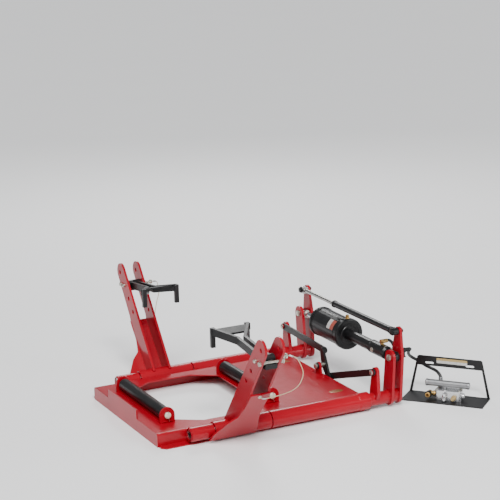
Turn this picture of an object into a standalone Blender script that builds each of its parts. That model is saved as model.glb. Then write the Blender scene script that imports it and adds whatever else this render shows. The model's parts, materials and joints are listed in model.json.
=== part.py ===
"""Air-operated floor spreader for tyre beads, built as separate solids.

Metres, +Z up.  X runs along the two torque shafts, Y from the front of the base to its back.
The origin is the middle of the front foot flange's rest face, on the floor.
Everything at the rear is the front turned over about the plane y = MID_Y.
"""
from math import cos, pi, radians, sin

import bmesh
import bpy
from mathutils import Matrix, Vector

# ---------------------------------------------------------------- driving sizes
GAP = 0.0003                # between faces that touch on the real machine
RUN = 0.0003                # radial running clearance
EYE_PLAY = 0.0013           # radial clearance where the closed linkages are opened: rod eyes,
FRONT_LINK_PLAY = 0.0038    # the front link's hole round its elbow stud,
REAR_LINK_PLAY = 0.0017     # and the rear link's

BASE_WIDTH = 0.740          # X, over the end plates
BASE_DEPTH = 0.540          # Y, over the front and back walls
BASE_HEIGHT = 0.044
SHEET = 0.004               # base sheet thickness
FLANGE = 0.030              # foot flange depth
BEND = 0.007                # outer radius of the base's folds

TYRE_INSET = 0.260          # base's left edge to the centre plane of the tyre, towers and hooks
OPENING_WIDTH = 0.316
OPENING_DEPTH = 0.444
OPENING_CUT_X = 0.080       # the opening's corners are cut off diagonally
OPENING_CUT_Y = 0.053
FIN_LENGTH = 0.244          # raised guard on the left end plate
FIN_RISE = 0.031
FIN_MID_Y = 0.303

ROLLER_SPACING = 0.374
ROLLER_RADIUS = 0.0205
ROLLER_WALL = 0.004
ROLLER_LENGTH = 0.346
AXLE_RADIUS = 0.007
EAR_THICKNESS = 0.006
EAR_WIDTH = 0.052
ROLLER_CLEAR = 0.0012       # roller to its cradle
CRADLE_STRIP = 0.0025
CRADLE_WIDTH = 0.040

SHAFT_RADIUS = 0.018
SHAFT_HEIGHT = 0.0335
SLEEVE_BORE = 0.0215
SHAFT_STANDOFF = 0.0004     # sleeve to the base's wall
STUB_LENGTH = 0.078
STUB_RADIUS = 0.0235
HUB_RADIUS = 0.0280
HUB_WIDTH = 0.1975
SLEEVE_END = 0.0020         # past the base's right edge
LEVER_TUBE_RADIUS = 0.0220
LEVER_TUBE_LENGTH = 0.1175

LEAN = radians(41.0)        # towers, outwards from upright
TOWER_PLATE = 0.008
TOWER_SPREAD = 0.060        # between the plates' middles
TOWER_TOP = 0.408           # centre of the rounded top, along the tower
TOWER_TOP_RADIUS = 0.031
TOWER_TOP_SIDE = -0.0225
HOLE_FIRST = 0.247
HOLE_PITCH = 0.054
HOLE_COUNT = 4
HOLE_SIDE = -0.0185
HOLE_RADIUS = 0.0075
PINNED_HOLE = 2
COVER_THICKNESS = 0.005
COVER_TOP = 0.236

PIN_RADIUS = 0.0065
HOOK_BAR = 0.010            # thickness of each finger bar
HOOK_BAR_HEIGHT = 0.024
HOOK_SPREAD = 0.120         # between the two finger tips
HOOK_REACH = 0.252          # pin to the fingers' outer face
HOOK_DROP = 0.064           # fingers, down inside the bead
HOOK_RISE = 0.034           # pin up to the middle of the bars at the tips
HOOK_HUB_RADIUS = 0.016
HOOK_TAIL = 0.036
STOP_RADIUS = 0.0045

LEVER_PLATE = 0.010
INNER_LEVER_OUT = 0.083     # plates' middles, from the base's right edge
OUTER_LEVER_OUT = 0.115
CYL_PIN = (-0.0137, 0.1385)      # from the shaft axis, Y and Z
TUBE_PIN = (-0.0137, 0.2245)
POST_PIN = (-0.0137, 0.0985)
POST_OUT = 0.0265
POST_THICKNESS = 0.012
LEVER_PIN_RADIUS = 0.006

CYL_BORE = 0.046
CYL_RADIUS = 0.051
CAP_RADIUS = 0.055
CAP_THICKNESS = 0.024
BARREL_LENGTH = 0.160
REAR_CAP_THICKNESS = 0.014
EXTENSION_LENGTH = 0.165
EXTENSION_RADIUS = 0.0195
EXTENSION_BORE = 0.0130
BLOCK_RADIUS = 0.0225
BLOCK_LENGTH = 0.090
BLOCK_SETBACK = 0.042       # pin to the round part of the end block
PORT_SETBACK = 0.037        # from there to the air port
TONGUE = 0.0200             # width of the eyes between the lever plates
ROD_RADIUS = 0.011
PISTON_THICKNESS = 0.016
OPEN_STROKE = 0.022         # left for the piston beyond the rest pose

RETURN_TUBE_RADIUS = 0.0110
RETURN_TUBE_BORE = 0.0082
RETURN_TUBE_LENGTH = 0.385
RETURN_ROD_RADIUS = 0.0068

ROCKER_HEIGHT = 0.074
ROCKER_ARM = 0.045
ROCKER_SLOPE = radians(50.0)
ROCKER_FAR_ARM = 0.0487
ROCKER_FAR_SLOPE = radians(74.7)
ROCKER_BAR = 0.008
STUD_RADIUS = 0.0045
LINK_BAR = 0.007
LINK_WIDTH = 0.023

PEDAL_OUT = 0.278           # middle of the foot valve's plate, from the base's right edge
PEDAL_SIDE = -0.060
PEDAL_TURN = radians(-49.6)
PEDAL_WIDTH = 0.281
PEDAL_TOP_WIDTH = 0.227
PEDAL_DEPTH = 0.102
PEDAL_HEIGHT = 0.1325
PEDAL_SHEET = 0.003
PEDAL_POST = 0.009
PEDAL_BAR = 0.034
VALVE_LENGTH = 0.090
VALVE_DEPTH = 0.040
VALVE_HEIGHT = 0.034
VALVE_LOW = PEDAL_SHEET + GAP
STEM_X = 0.0
STEM_Y = -0.004
OUTLET_X = -0.020           # upright hose barb on the valve
OUTLET_Y = 0.0150
OUTLET_END = 0.0600
VALVE_OFFSET = 0.0125
TREADLE_LENGTH = 0.152
TREADLE_RADIUS = 0.0110
TREADLE_HEIGHT = 0.058
TREADLE_TRAVEL = 0.006
STEM_RADIUS = 0.006

HOSE_RADIUS = 0.0055
LANYARD_RADIUS = 0.0013

# ---------------------------------------------------------------- places that follow
SLEEVE_RADIUS = SHAFT_HEIGHT - SHEET - GAP
LEFT = -BASE_WIDTH / 2
RIGHT = BASE_WIDTH / 2
TYRE_X = LEFT + TYRE_INSET
INNER_LEVER_X = RIGHT + INNER_LEVER_OUT
OUTER_LEVER_X = RIGHT + OUTER_LEVER_OUT
POST_X = RIGHT + POST_OUT
PEDAL_AT = (RIGHT + PEDAL_OUT, PEDAL_SIDE)
WALL_Y = FLANGE / 2
MID_Y = WALL_Y + BASE_DEPTH / 2
SHAFT_Y = WALL_Y - SHAFT_STANDOFF - SLEEVE_RADIUS
HUB_LEFT = TYRE_X - 0.082
HUB_RIGHT = HUB_LEFT + HUB_WIDTH
STUB_RIGHT = HUB_LEFT - 0.002
STUB_LEFT = STUB_RIGHT - STUB_LENGTH
SLEEVE_LEFT = HUB_RIGHT + 0.003
SLEEVE_RIGHT = RIGHT + SLEEVE_END
LEVER_TUBE_LEFT = SLEEVE_RIGHT + 0.002
LEVER_TUBE_RIGHT = LEVER_TUBE_LEFT + LEVER_TUBE_LENGTH
CYL_X = (INNER_LEVER_X + OUTER_LEVER_X) / 2
ROLLER_HEIGHT = BASE_HEIGHT + GAP + CRADLE_STRIP + ROLLER_CLEAR + ROLLER_RADIUS
ROLLER_Y = MID_Y - ROLLER_LENGTH / 2
ROCKER_X = RIGHT + 0.0035
LINK_X = ROCKER_X + ROCKER_BAR + 0.001
PIN_ALONG = HOLE_FIRST + PINNED_HOLE * HOLE_PITCH
COVER_FACE = HUB_RADIUS + GAP + COVER_THICKNESS
STOP_AT = (PIN_ALONG + 0.0175, HOLE_SIDE + 0.0230)

UP_TOWER = Vector((0, -sin(LEAN), cos(LEAN)))
OUT_TOWER = Vector((0, -cos(LEAN), -sin(LEAN)))
SHAFT_AXIS = Vector((0, SHAFT_Y, SHAFT_HEIGHT))


def on_tower(x, along, side):
    """A point of the front tower, from its distance up the tower and out of it."""
    return Vector((x, 0, 0)) + SHAFT_AXIS + UP_TOWER * along + OUT_TOWER * side


HOOK_PIN = on_tower(TYRE_X, PIN_ALONG, HOLE_SIDE)
CYL_PIN_Y = SHAFT_Y + CYL_PIN[0]
CYL_PIN_Z = SHAFT_HEIGHT + CYL_PIN[1]
TUBE_PIN_Y = SHAFT_Y + TUBE_PIN[0]
TUBE_PIN_Z = SHAFT_HEIGHT + TUBE_PIN[1]
POST_PIN_Y = SHAFT_Y + POST_PIN[0]
POST_PIN_Z = SHAFT_HEIGHT + POST_PIN[1]
ELBOW_Y = MID_Y - ROCKER_ARM * cos(ROCKER_SLOPE)
ELBOW_Z = ROCKER_HEIGHT - ROCKER_ARM * sin(ROCKER_SLOPE)
FAR_ELBOW_Y = MID_Y + ROCKER_FAR_ARM * cos(ROCKER_FAR_SLOPE)
FAR_ELBOW_Z = ROCKER_HEIGHT + ROCKER_FAR_ARM * sin(ROCKER_FAR_SLOPE)


def turned_over(point):
    """The rear copy of a front point."""
    return Vector((point[0], 2 * MID_Y - point[1], point[2]))


PIVOTS = {
    "base": Vector((0, 0, 0)),
    "front_arm": Vector((0, SHAFT_Y, SHAFT_HEIGHT)),
    "rear_arm": turned_over((0, SHAFT_Y, SHAFT_HEIGHT)),
    "front_hook": HOOK_PIN,
    "rear_hook": turned_over(HOOK_PIN),
    "cylinder": Vector((CYL_X, CYL_PIN_Y, CYL_PIN_Z)),
    "piston_rod": Vector((CYL_X, CYL_PIN_Y, CYL_PIN_Z)),
    "return_tube": Vector((CYL_X, TUBE_PIN_Y, TUBE_PIN_Z)),
    "return_rod": Vector((CYL_X, TUBE_PIN_Y, TUBE_PIN_Z)),
    "rocker": Vector((ROCKER_X, MID_Y, ROCKER_HEIGHT)),
    "front_link": Vector((LINK_X, POST_PIN_Y, POST_PIN_Z)),
    "rear_link": turned_over((LINK_X, POST_PIN_Y, POST_PIN_Z)),
    "left_roller": Vector((TYRE_X - ROLLER_SPACING / 2, MID_Y, ROLLER_HEIGHT)),
    "right_roller": Vector((TYRE_X + ROLLER_SPACING / 2, MID_Y, ROLLER_HEIGHT)),
    "treadle": Vector((PEDAL_AT[0], PEDAL_AT[1], TREADLE_HEIGHT)),
}

FINISHES = {
    "red_paint": ((0.62, 0.004, 0.012), 0.28, 0.0),
    "black_paint": ((0.012, 0.012, 0.013), 0.40, 0.0),
    "bare_steel": ((0.60, 0.60, 0.60), 0.30, 1.0),
    "zinc": ((0.74, 0.72, 0.66), 0.34, 1.0),
    "bronze": ((0.50, 0.30, 0.14), 0.40, 1.0),
    "brass": ((0.62, 0.42, 0.16), 0.34, 1.0),
    "valve_silver": ((0.62, 0.63, 0.64), 0.36, 1.0),
    "hose_rubber": ((0.010, 0.010, 0.011), 0.55, 0.0),
}
AXES = {"x": Vector((1, 0, 0)), "y": Vector((0, 1, 0)), "z": Vector((0, 0, 1))}


# ---------------------------------------------------------------- shaping helpers
def clear_scene():
    """Remove whatever the scene holds."""
    for thing in list(bpy.data.objects):
        bpy.data.objects.remove(thing, do_unlink=True)


def make_finish(name):
    """A Principled material for one finish."""
    colour, roughness, metallic = FINISHES[name]
    finish = bpy.data.materials.new(name)
    finish.use_nodes = True
    shader = finish.node_tree.nodes["Principled BSDF"]
    shader.inputs["Base Color"].default_value = (*colour, 1.0)
    shader.inputs["Roughness"].default_value = roughness
    shader.inputs["Metallic"].default_value = metallic
    return finish


def make_pivots():
    """One empty on each joint's axis, which the moving pieces hang from."""
    pivots = {}
    for name, place in PIVOTS.items():
        pivot = bpy.data.objects.new("pivot_" + name, None)
        pivot.location = place
        bpy.context.scene.collection.objects.link(pivot)
        pivots[name] = pivot
    return pivots


def tidy(shape):
    """Merge doubled points and turn the faces outwards."""
    bmesh.ops.remove_doubles(shape, verts=shape.verts, dist=1e-6)
    bmesh.ops.recalc_face_normals(shape, faces=shape.faces)
    return shape


def block(low, high):
    """A box from its lowest to its highest corner."""
    shape = bmesh.new()
    size = Vector(high) - Vector(low)
    middle = (Vector(high) + Vector(low)) / 2
    place = Matrix.Translation(middle) @ Matrix.Diagonal((*size, 1.0))
    bmesh.ops.create_cube(shape, size=1.0, matrix=place)
    return shape


def axis_frame(axis, place):
    """The matrix that lays local +Z along an axis, through a point."""
    turn = AXES[axis].to_track_quat("Z", "Y").to_matrix().to_4x4()
    return Matrix.Translation(Vector(place)) @ turn


def turned(profile, axis, place, sides=24):
    """A turned solid: a closed outline of (distance along, radius) spun about an axis."""
    shape = bmesh.new()
    points = [shape.verts.new((radius, 0, along)) for along, radius in profile]
    edges = [shape.edges.new((points[i - 1], points[i])) for i in range(len(points))]
    bmesh.ops.spin(shape, geom=points + edges, cent=(0, 0, 0), axis=(0, 0, 1), angle=2 * pi,
                   steps=sides, use_merge=True)
    shape.transform(axis_frame(axis, place))
    tidy(shape)
    return close_poles(shape)


def close_poles(shape):
    """Drop the faces without area that a spin leaves where its outline meets the axis."""
    bmesh.ops.dissolve_degenerate(shape, dist=1e-7, edges=shape.edges)
    bmesh.ops.recalc_face_normals(shape, faces=shape.faces)
    return shape


def rod(axis, place, start, end, radius, sides=24, chamfer=0.0):
    """A round bar along an axis, with its end edges broken if asked."""
    low = min(start, end)
    high = max(start, end)
    if chamfer:
        profile = [(low, 0), (low, radius - chamfer), (low + chamfer, radius),
                   (high - chamfer, radius), (high, radius - chamfer), (high, 0)]
    else:
        profile = [(low, 0), (low, radius), (high, radius), (high, 0)]
    return turned(profile, axis, place, sides)


def pipe(axis, place, start, end, outer, inner, sides=24, chamfer=0.0):
    """A round tube along an axis."""
    profile = [(start, inner), (start, outer - chamfer), (start + chamfer, outer),
               (end - chamfer, outer), (end, outer - chamfer), (end, inner)]
    if not chamfer:
        profile = [(start, inner), (start, outer), (end, outer), (end, inner)]
    return turned(profile, axis, place, sides)


def prism(outline, thickness, place, across, up):
    """A flat outline given in two directions, made thick along their cross product."""
    shape = bmesh.new()
    across = Vector(across)
    up = Vector(up)
    normal = across.cross(up).normalized()
    start = Vector(place) - normal * thickness / 2
    points = [shape.verts.new(start + across * a + up * b) for a, b in outline]
    face = shape.faces.new(points)
    grown = bmesh.ops.extrude_face_region(shape, geom=[face])
    moved = [item for item in grown["geom"] if isinstance(item, bmesh.types.BMVert)]
    bmesh.ops.translate(shape, verts=moved, vec=normal * thickness)
    return tidy(shape)


def arc(centre, radius, start, end, steps):
    """Points along a circle, angles in degrees."""
    points = []
    for step in range(steps + 1):
        angle = radians(start + (end - start) * step / steps)
        points.append((centre[0] + radius * cos(angle), centre[1] + radius * sin(angle)))
    return points


def around(circles, sides=20):
    """The outline of a band stretched round some circles, each (a, b, radius)."""
    cloud = bmesh.new()
    for a, b, radius in circles:
        for point in arc((a, b), radius, 0, 360 - 360 / sides, sides - 1):
            cloud.verts.new((*point, 0))
    hull = sorted({(round(v.co.x, 7), round(v.co.y, 7)) for v in cloud.verts})
    cloud.free()
    return half_hull(hull)[:-1] + half_hull(hull[::-1])[:-1]


def half_hull(points):
    """One side of a convex outline, from sorted points."""
    chain = []
    for point in points:
        while len(chain) > 1 and turn_of(chain[-2], chain[-1], point) <= 1e-12:
            chain.pop()
        chain.append(point)
    return chain


def turn_of(a, b, c):
    """Twice the signed area of three points."""
    return (b[0] - a[0]) * (c[1] - a[1]) - (b[1] - a[1]) * (c[0] - a[0])


def temporary(shape):
    """A scene object that holds a shape for a Boolean."""
    mesh = bpy.data.meshes.new("temporary")
    shape.to_mesh(mesh)
    shape.free()
    thing = bpy.data.objects.new("temporary", mesh)
    bpy.context.scene.collection.objects.link(thing)
    return thing


def combined(first, joins=(), cuts=()):
    """One closed body: the first shape with others joined to it, then others cut from it."""
    body = temporary(first)
    tools = []
    for operation, shapes in (("UNION", joins), ("DIFFERENCE", cuts)):
        for shape in shapes:
            tool = temporary(shape)
            tools.append(tool)
            step = body.modifiers.new(operation, "BOOLEAN")
            step.operation = operation
            step.solver = "EXACT"
            step.object = tool
    bpy.context.view_layer.update()
    seen = body.evaluated_get(bpy.context.evaluated_depsgraph_get())
    result = bmesh.new()
    result.from_mesh(seen.to_mesh())
    seen.to_mesh_clear()
    for thing in tools + [body]:
        bpy.data.meshes.remove(thing.data)
    bmesh.ops.remove_doubles(result, verts=result.verts, dist=1e-6)
    bmesh.ops.dissolve_degenerate(result, dist=1e-6, edges=result.edges)
    return result


def rear(shape):
    """Turn a front shape over about the middle of the base."""
    bmesh.ops.scale(shape, vec=(1, -1, 1), verts=shape.verts)
    bmesh.ops.translate(shape, vec=(0, 2 * MID_Y, 0), verts=shape.verts)
    bmesh.ops.reverse_faces(shape, faces=shape.faces)
    return shape


class Maker:
    """Turns shapes into named objects on their pivots."""

    def __init__(self):
        self.finishes = {name: make_finish(name) for name in FINISHES}
        self.pivots = make_pivots()

    def add(self, name, shape, finish, body="base"):
        """One node, hung on its body's pivot."""
        shape.transform(Matrix.Translation(-PIVOTS[body]))
        mesh = bpy.data.meshes.new(name)
        shape.to_mesh(mesh)
        shape.free()
        mesh.shade_smooth()
        mesh.set_sharp_from_angle(angle=radians(35))
        mesh.materials.append(self.finishes[finish])
        node = bpy.data.objects.new(name, mesh)
        bpy.context.scene.collection.objects.link(node)
        node.parent = self.pivots[body]

    def pair(self, name, make, finish, body=None):
        """The front piece and its rear copy."""
        front_body = "front_" + body if body else "base"
        rear_body = "rear_" + body if body else "base"
        self.add("front_" + name, make(), finish, front_body)
        self.add("rear_" + name, rear(make()), finish, rear_body)

    def cord(self, name, points, radius, finish, body="base"):
        """A free cord: a round tube along a smooth curve."""
        curve = bpy.data.curves.new(name, "CURVE")
        curve.dimensions = "3D"
        curve.bevel_depth = radius
        curve.bevel_resolution = 2
        curve.use_fill_caps = True
        line = curve.splines.new("POLY")
        line.points.add(len(points) - 1)
        for slot, point in zip(line.points, points):
            slot.co = (*(point - PIVOTS[body]), 1.0)
        curve.materials.append(self.finishes[finish])
        node = bpy.data.objects.new(name, curve)
        bpy.context.scene.collection.objects.link(node)
        node.parent = self.pivots[body]


# ---------------------------------------------------------------- base
def base_section():
    """The folded sheet across the base: flange, wall, deck, wall, flange."""
    back = WALL_Y + BASE_DEPTH
    outer = [(WALL_Y - FLANGE, 0), (WALL_Y - FLANGE, SHEET), (WALL_Y, SHEET)]
    outer += arc((WALL_Y + BEND, BASE_HEIGHT - BEND), BEND, 180, 90, 4)
    outer += arc((back - BEND, BASE_HEIGHT - BEND), BEND, 90, 0, 4)
    outer += [(back, SHEET), (back + FLANGE, SHEET), (back + FLANGE, 0)]
    bore = BEND - SHEET
    inner = [(back - SHEET, 0)]
    inner += arc((back - BEND, BASE_HEIGHT - BEND), bore, 0, 90, 3)
    inner += arc((WALL_Y + BEND, BASE_HEIGHT - BEND), bore, 90, 180, 3)
    inner += [(WALL_Y + SHEET, 0)]
    return outer + inner


def base_opening():
    """The floor opening between the rollers, with its corners cut off."""
    half_x = OPENING_WIDTH / 2
    half_y = OPENING_DEPTH / 2
    corner_x = half_x - OPENING_CUT_X
    corner_y = half_y - OPENING_CUT_Y
    return [(half_x, corner_y), (corner_x, half_y), (-corner_x, half_y), (-half_x, corner_y),
            (-half_x, -corner_y), (-corner_x, -half_y), (corner_x, -half_y), (half_x, -corner_y)]


def base_pan():
    """Hat-section pan with its opening and a folded skirt on the right."""
    low = LEFT + SHEET + GAP
    middle = ((low + RIGHT) / 2, 0, 0)
    pan = prism(base_section(), RIGHT - low, middle, (0, 1, 0), (0, 0, 1))
    skirt = block((RIGHT - SHEET, WALL_Y + SHEET / 2, 0.001),
                  (RIGHT - 0.0001, WALL_Y + BASE_DEPTH - SHEET / 2, BASE_HEIGHT - SHEET / 2))
    hole = prism(base_opening(), 0.03, (TYRE_X, MID_Y, BASE_HEIGHT), (1, 0, 0), (0, 1, 0))
    corner = 0.014
    cuts = [hole]
    for y, turn in ((WALL_Y - FLANGE, 1), (WALL_Y + BASE_DEPTH + FLANGE, -1)):
        for x in (low, RIGHT):
            nose = prism([(0, corner), (corner, 0), (0, -corner), (-corner, 0)], 0.02,
                         (x, y, 0), (1, 0, 0), (0, 1, 0))
            cuts.append(nose)
    return combined(pan, joins=[skirt], cuts=cuts)


def left_end_plate():
    """End plate with the raised fin that keeps the tyre off the plate's edge."""
    fin_low = FIN_MID_Y - FIN_LENGTH / 2
    fin_high = FIN_MID_Y + FIN_LENGTH / 2
    top = BASE_HEIGHT + FIN_RISE
    back = WALL_Y + BASE_DEPTH
    outline = [(WALL_Y, 0), (back, 0)]
    outline += arc((back - BEND, BASE_HEIGHT - BEND), BEND, 0, 90, 4)
    outline += [(fin_high, BASE_HEIGHT), (fin_high - 0.006, top), (fin_low, top), (fin_low, BASE_HEIGHT)]
    outline += arc((WALL_Y + BEND, BASE_HEIGHT - BEND), BEND, 90, 180, 4)
    return prism(outline, SHEET, (LEFT + SHEET / 2, 0, 0), (0, 1, 0), (0, 0, 1))


def roller_ear(x):
    """One upright ear in front of a roller."""
    radius = EAR_WIDTH / 2
    foot = BASE_HEIGHT + GAP
    outline = [(-radius, foot), (radius, foot)]
    outline += arc((0, ROLLER_HEIGHT), radius, 0, 180, 12)
    y = ROLLER_Y - 0.006 - EAR_THICKNESS / 2
    return prism(outline, EAR_THICKNESS, (x, y, 0), (1, 0, 0), (0, 0, 1))


def cradle(side):
    """Two ears on a strip that lies on the deck under the roller."""
    x = TYRE_X + side * ROLLER_SPACING / 2
    foot = BASE_HEIGHT + GAP
    low = ROLLER_Y - 0.006 - EAR_THICKNESS / 2
    strip = block((x - CRADLE_WIDTH / 2, low, foot),
                  (x + CRADLE_WIDTH / 2, 2 * MID_Y - low, foot + CRADLE_STRIP))
    bore = rod("y", (x, MID_Y, ROLLER_HEIGHT), -ROLLER_LENGTH, ROLLER_LENGTH, AXLE_RADIUS + RUN, 16)
    return combined(strip, joins=[roller_ear(x), rear(roller_ear(x))], cuts=[bore])


def roller_tube(side):
    """A roller: a tube with bored end walls."""
    x = TYRE_X + side * ROLLER_SPACING / 2
    half = ROLLER_LENGTH / 2
    bore = AXLE_RADIUS + RUN
    inside = ROLLER_RADIUS - ROLLER_WALL
    wall = 0.008
    profile = [(-half, bore), (-half, ROLLER_RADIUS - 0.002), (-half + 0.002, ROLLER_RADIUS),
               (half - 0.002, ROLLER_RADIUS), (half, ROLLER_RADIUS - 0.002), (half, bore),
               (half - wall, bore), (half - wall, inside), (-half + wall, inside), (-half + wall, bore)]
    return turned(profile, "y", (x, MID_Y, ROLLER_HEIGHT), 28)


def axle(side):
    """Axle with a domed head outside its front ear and a grooved rear end."""
    x = TYRE_X + side * ROLLER_SPACING / 2
    front = ROLLER_Y - 0.006 - EAR_THICKNESS - MID_Y
    head = [(front - 0.0075, 0), (front - 0.0065, 0.0085), (front - GAP, 0.0105),
            (front - GAP, AXLE_RADIUS), (-front + 0.012, AXLE_RADIUS), (-front + 0.013, AXLE_RADIUS - 0.001),
            (-front + 0.013, 0)]
    return turned(head, "y", (x, MID_Y, ROLLER_HEIGHT), 20)


def sleeve():
    """Fixed tube that carries the shaft along the base, with its raised end band."""
    band = 0.040
    length = SLEEVE_RIGHT - SLEEVE_LEFT
    step = 0.0012
    lip = 0.0010
    profile = [(0, SLEEVE_BORE), (0, SLEEVE_RADIUS - lip - step), (lip, SLEEVE_RADIUS - step),
               (length - band - 0.002, SLEEVE_RADIUS - step), (length - band, SLEEVE_RADIUS),
               (length - lip, SLEEVE_RADIUS), (length, SLEEVE_RADIUS - lip), (length, SLEEVE_BORE)]
    return turned(profile, "x", (SLEEVE_LEFT, SHAFT_Y, SHAFT_HEIGHT), 32)


def stub():
    """Left bearing of the shaft, on its pad, fixed to the base's wall."""
    place = (STUB_LEFT, SHAFT_Y, SHAFT_HEIGHT)
    body = pipe("x", place, 0, STUB_LENGTH, STUB_RADIUS, SHAFT_RADIUS + RUN, 28, 0.0008)
    web = block((STUB_LEFT + 0.012, SHAFT_Y + SHAFT_RADIUS + 0.0015, SHEET + GAP),
                (STUB_RIGHT - 0.012, WALL_Y - GAP, SHAFT_HEIGHT + 0.004))
    return combined(body, joins=[web])


def bush():
    """Bronze bush in the right end of a sleeve."""
    length = 0.030
    place = (SLEEVE_RIGHT - length - 0.004, SHAFT_Y, SHAFT_HEIGHT)
    return pipe("x", place, 0, length, SLEEVE_BORE - GAP, SHAFT_RADIUS + RUN, 28)


def equalizer_ear():
    """Ear on the deck that the rocker turns on."""
    x = RIGHT - 0.014
    low = BASE_HEIGHT + GAP
    outline = [(-0.018, low), (0.018, low)] + arc((0, ROCKER_HEIGHT), 0.013, 0, 180, 10)
    ear = prism(outline, 0.008, (x, MID_Y, 0), (0, 1, 0), (0, 0, 1))
    bore = rod("x", (x, MID_Y, ROCKER_HEIGHT), -0.02, 0.02, LEVER_PIN_RADIUS + RUN, 16)
    return combined(ear, cuts=[bore])


def equalizer_bolt():
    """Bolt, spacer shoulder and end collar that hold the rocker on its ear."""
    ear_face = RIGHT - 0.018
    spacer = ROCKER_X - GAP
    end = ROCKER_X + ROCKER_BAR
    pin = LEVER_PIN_RADIUS
    ear_right = RIGHT - 0.010 + GAP
    profile = [(ear_face - 0.010, 0), (ear_face - 0.010, 0.006), (ear_face - 0.008, 0.0085),
               (ear_face - 0.0035, 0.0085), (ear_face - 0.0035, 0.0115), (ear_face - GAP, 0.0115),
               (ear_face - GAP, pin), (ear_right, pin), (ear_right, 0.0095), (spacer, 0.0095),
               (spacer, pin), (end + GAP, pin), (end + GAP, 0.009), (end + 0.0045, 0.009), (end + 0.0045, 0)]
    return turned(profile, "x", (0, MID_Y, ROCKER_HEIGHT), 18)


# ---------------------------------------------------------------- arms
def shaft():
    """Torque shaft, bored at its left end."""
    left = STUB_LEFT - 0.001
    right = LEVER_TUBE_RIGHT + 0.001
    length = right - left
    bore = 0.0105
    profile = [(0.045, 0), (0.045, bore), (0, bore), (0, SHAFT_RADIUS - 0.001), (0.001, SHAFT_RADIUS),
               (length - 0.001, SHAFT_RADIUS), (length, SHAFT_RADIUS - 0.001), (length, 0)]
    return turned(profile, "x", (left, SHAFT_Y, SHAFT_HEIGHT), 28)


def tower_plate(side):
    """One tower side plate: foot round the hub, straight edges, rounded top."""
    foot = 0.008
    outline = [(-0.030, foot), (HUB_RADIUS, foot), (HUB_RADIUS, COVER_TOP - 0.002),
               (HUB_RADIUS - 0.006, COVER_TOP + 0.012)]
    outline += arc((TOWER_TOP_SIDE, TOWER_TOP), TOWER_TOP_RADIUS, -4, 184, 14)
    x = TYRE_X + side * TOWER_SPREAD / 2
    return prism(outline, TOWER_PLATE, (x, SHAFT_Y, SHAFT_HEIGHT), OUT_TOWER, UP_TOWER)


def tower():
    """Welded tower: the hub tube on the shaft and two side plates with their row of holes."""
    place = (HUB_LEFT, SHAFT_Y, SHAFT_HEIGHT)
    hub = rod("x", place, 0, HUB_WIDTH, HUB_RADIUS, 28, 0.001)
    cuts = [rod("x", place, -0.02, HUB_WIDTH + 0.02, SHAFT_RADIUS + GAP, 28)]
    for number in range(HOLE_COUNT):
        radius = PIN_RADIUS + RUN if number == PINNED_HOLE else HOLE_RADIUS
        middle = on_tower(TYRE_X, HOLE_FIRST + number * HOLE_PITCH, HOLE_SIDE)
        cuts.append(rod("x", middle, -0.06, 0.06, radius, 16))
    cuts.append(rod("x", on_tower(TYRE_X, *STOP_AT), -0.06, 0.06, STOP_RADIUS + RUN, 12))
    return combined(hub, joins=[tower_plate(-1), tower_plate(1)], cuts=cuts)


def cover():
    """Front cover of the tower, flared at its foot."""
    half_top = TOWER_SPREAD / 2 + TOWER_PLATE / 2
    left = -half_top - 0.002
    outline = [(-0.105, -0.004), (0.056, -0.004), (0.052, 0.030), (0.042, 0.075), (half_top, 0.120),
               (half_top, COVER_TOP), (-half_top, COVER_TOP), (-half_top, 0.165), (left, 0.150),
               (left - 0.006, 0.115), (-0.068, 0.088), (-0.100, 0.030)]
    place = on_tower(TYRE_X, 0, COVER_FACE - COVER_THICKNESS / 2)
    return prism(outline, COVER_THICKNESS, place, (1, 0, 0), UP_TOWER)


def post():
    """Post on the lever tube for the equalizer's link, and its stud."""
    foot = LEVER_TUBE_RADIUS + 0.0025
    outline = [(-0.026, 0.006), (0.018, 0.006), (0.017, foot)]
    outline += arc(POST_PIN, 0.0155, 8, 172, 10)
    outline += [(-0.034, foot)]
    plate = prism(outline, POST_THICKNESS, (POST_X, SHAFT_Y, SHAFT_HEIGHT), (0, 1, 0), (0, 0, 1))
    tip = LINK_X - 0.0045
    profile = [(tip, 0), (tip, 0.008), (tip + 0.001, 0.009), (LINK_X - GAP, 0.009),
               (LINK_X - GAP, LEVER_PIN_RADIUS),
               (POST_X, LEVER_PIN_RADIUS), (POST_X, 0)]
    return plate, turned(profile, "x", (0, POST_PIN_Y, POST_PIN_Z), 16)


def lever(x, circles):
    """A lever plate across the lever tube."""
    return prism(around(circles), LEVER_PLATE, (x, SHAFT_Y, SHAFT_HEIGHT), (0, 1, 0), (0, 0, 1))


def levers():
    """Welded levers: a tube on the shaft's right end, two lever plates and the equalizer's post."""
    place = (LEVER_TUBE_LEFT, SHAFT_Y, SHAFT_HEIGHT)
    tube = rod("x", place, 0, LEVER_TUBE_LENGTH, LEVER_TUBE_RADIUS, 28, 0.0008)
    inner = lever(INNER_LEVER_X, [(0, 0, LEVER_TUBE_RADIUS + 0.0065), (*CYL_PIN, 0.026)])
    wide = (CYL_PIN[0] * 0.5, CYL_PIN[1] * 0.98, 0.032)
    outer = lever(OUTER_LEVER_X, [(0, 0, LEVER_TUBE_RADIUS + 0.0055), wide, (*TUBE_PIN, 0.015)])
    reach = LEVER_TUBE_LENGTH
    cuts = [rod("x", place, -0.02, reach + 0.02, SHAFT_RADIUS + GAP, 28),
            rod("x", (CYL_X, CYL_PIN_Y, CYL_PIN_Z), -0.04, 0.04, LEVER_PIN_RADIUS + RUN, 16),
            rod("x", (CYL_X, TUBE_PIN_Y, TUBE_PIN_Z), -0.04, 0.04, LEVER_PIN_RADIUS + RUN, 16)]
    return combined(tube, joins=[inner, outer, *post()], cuts=cuts)


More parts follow.
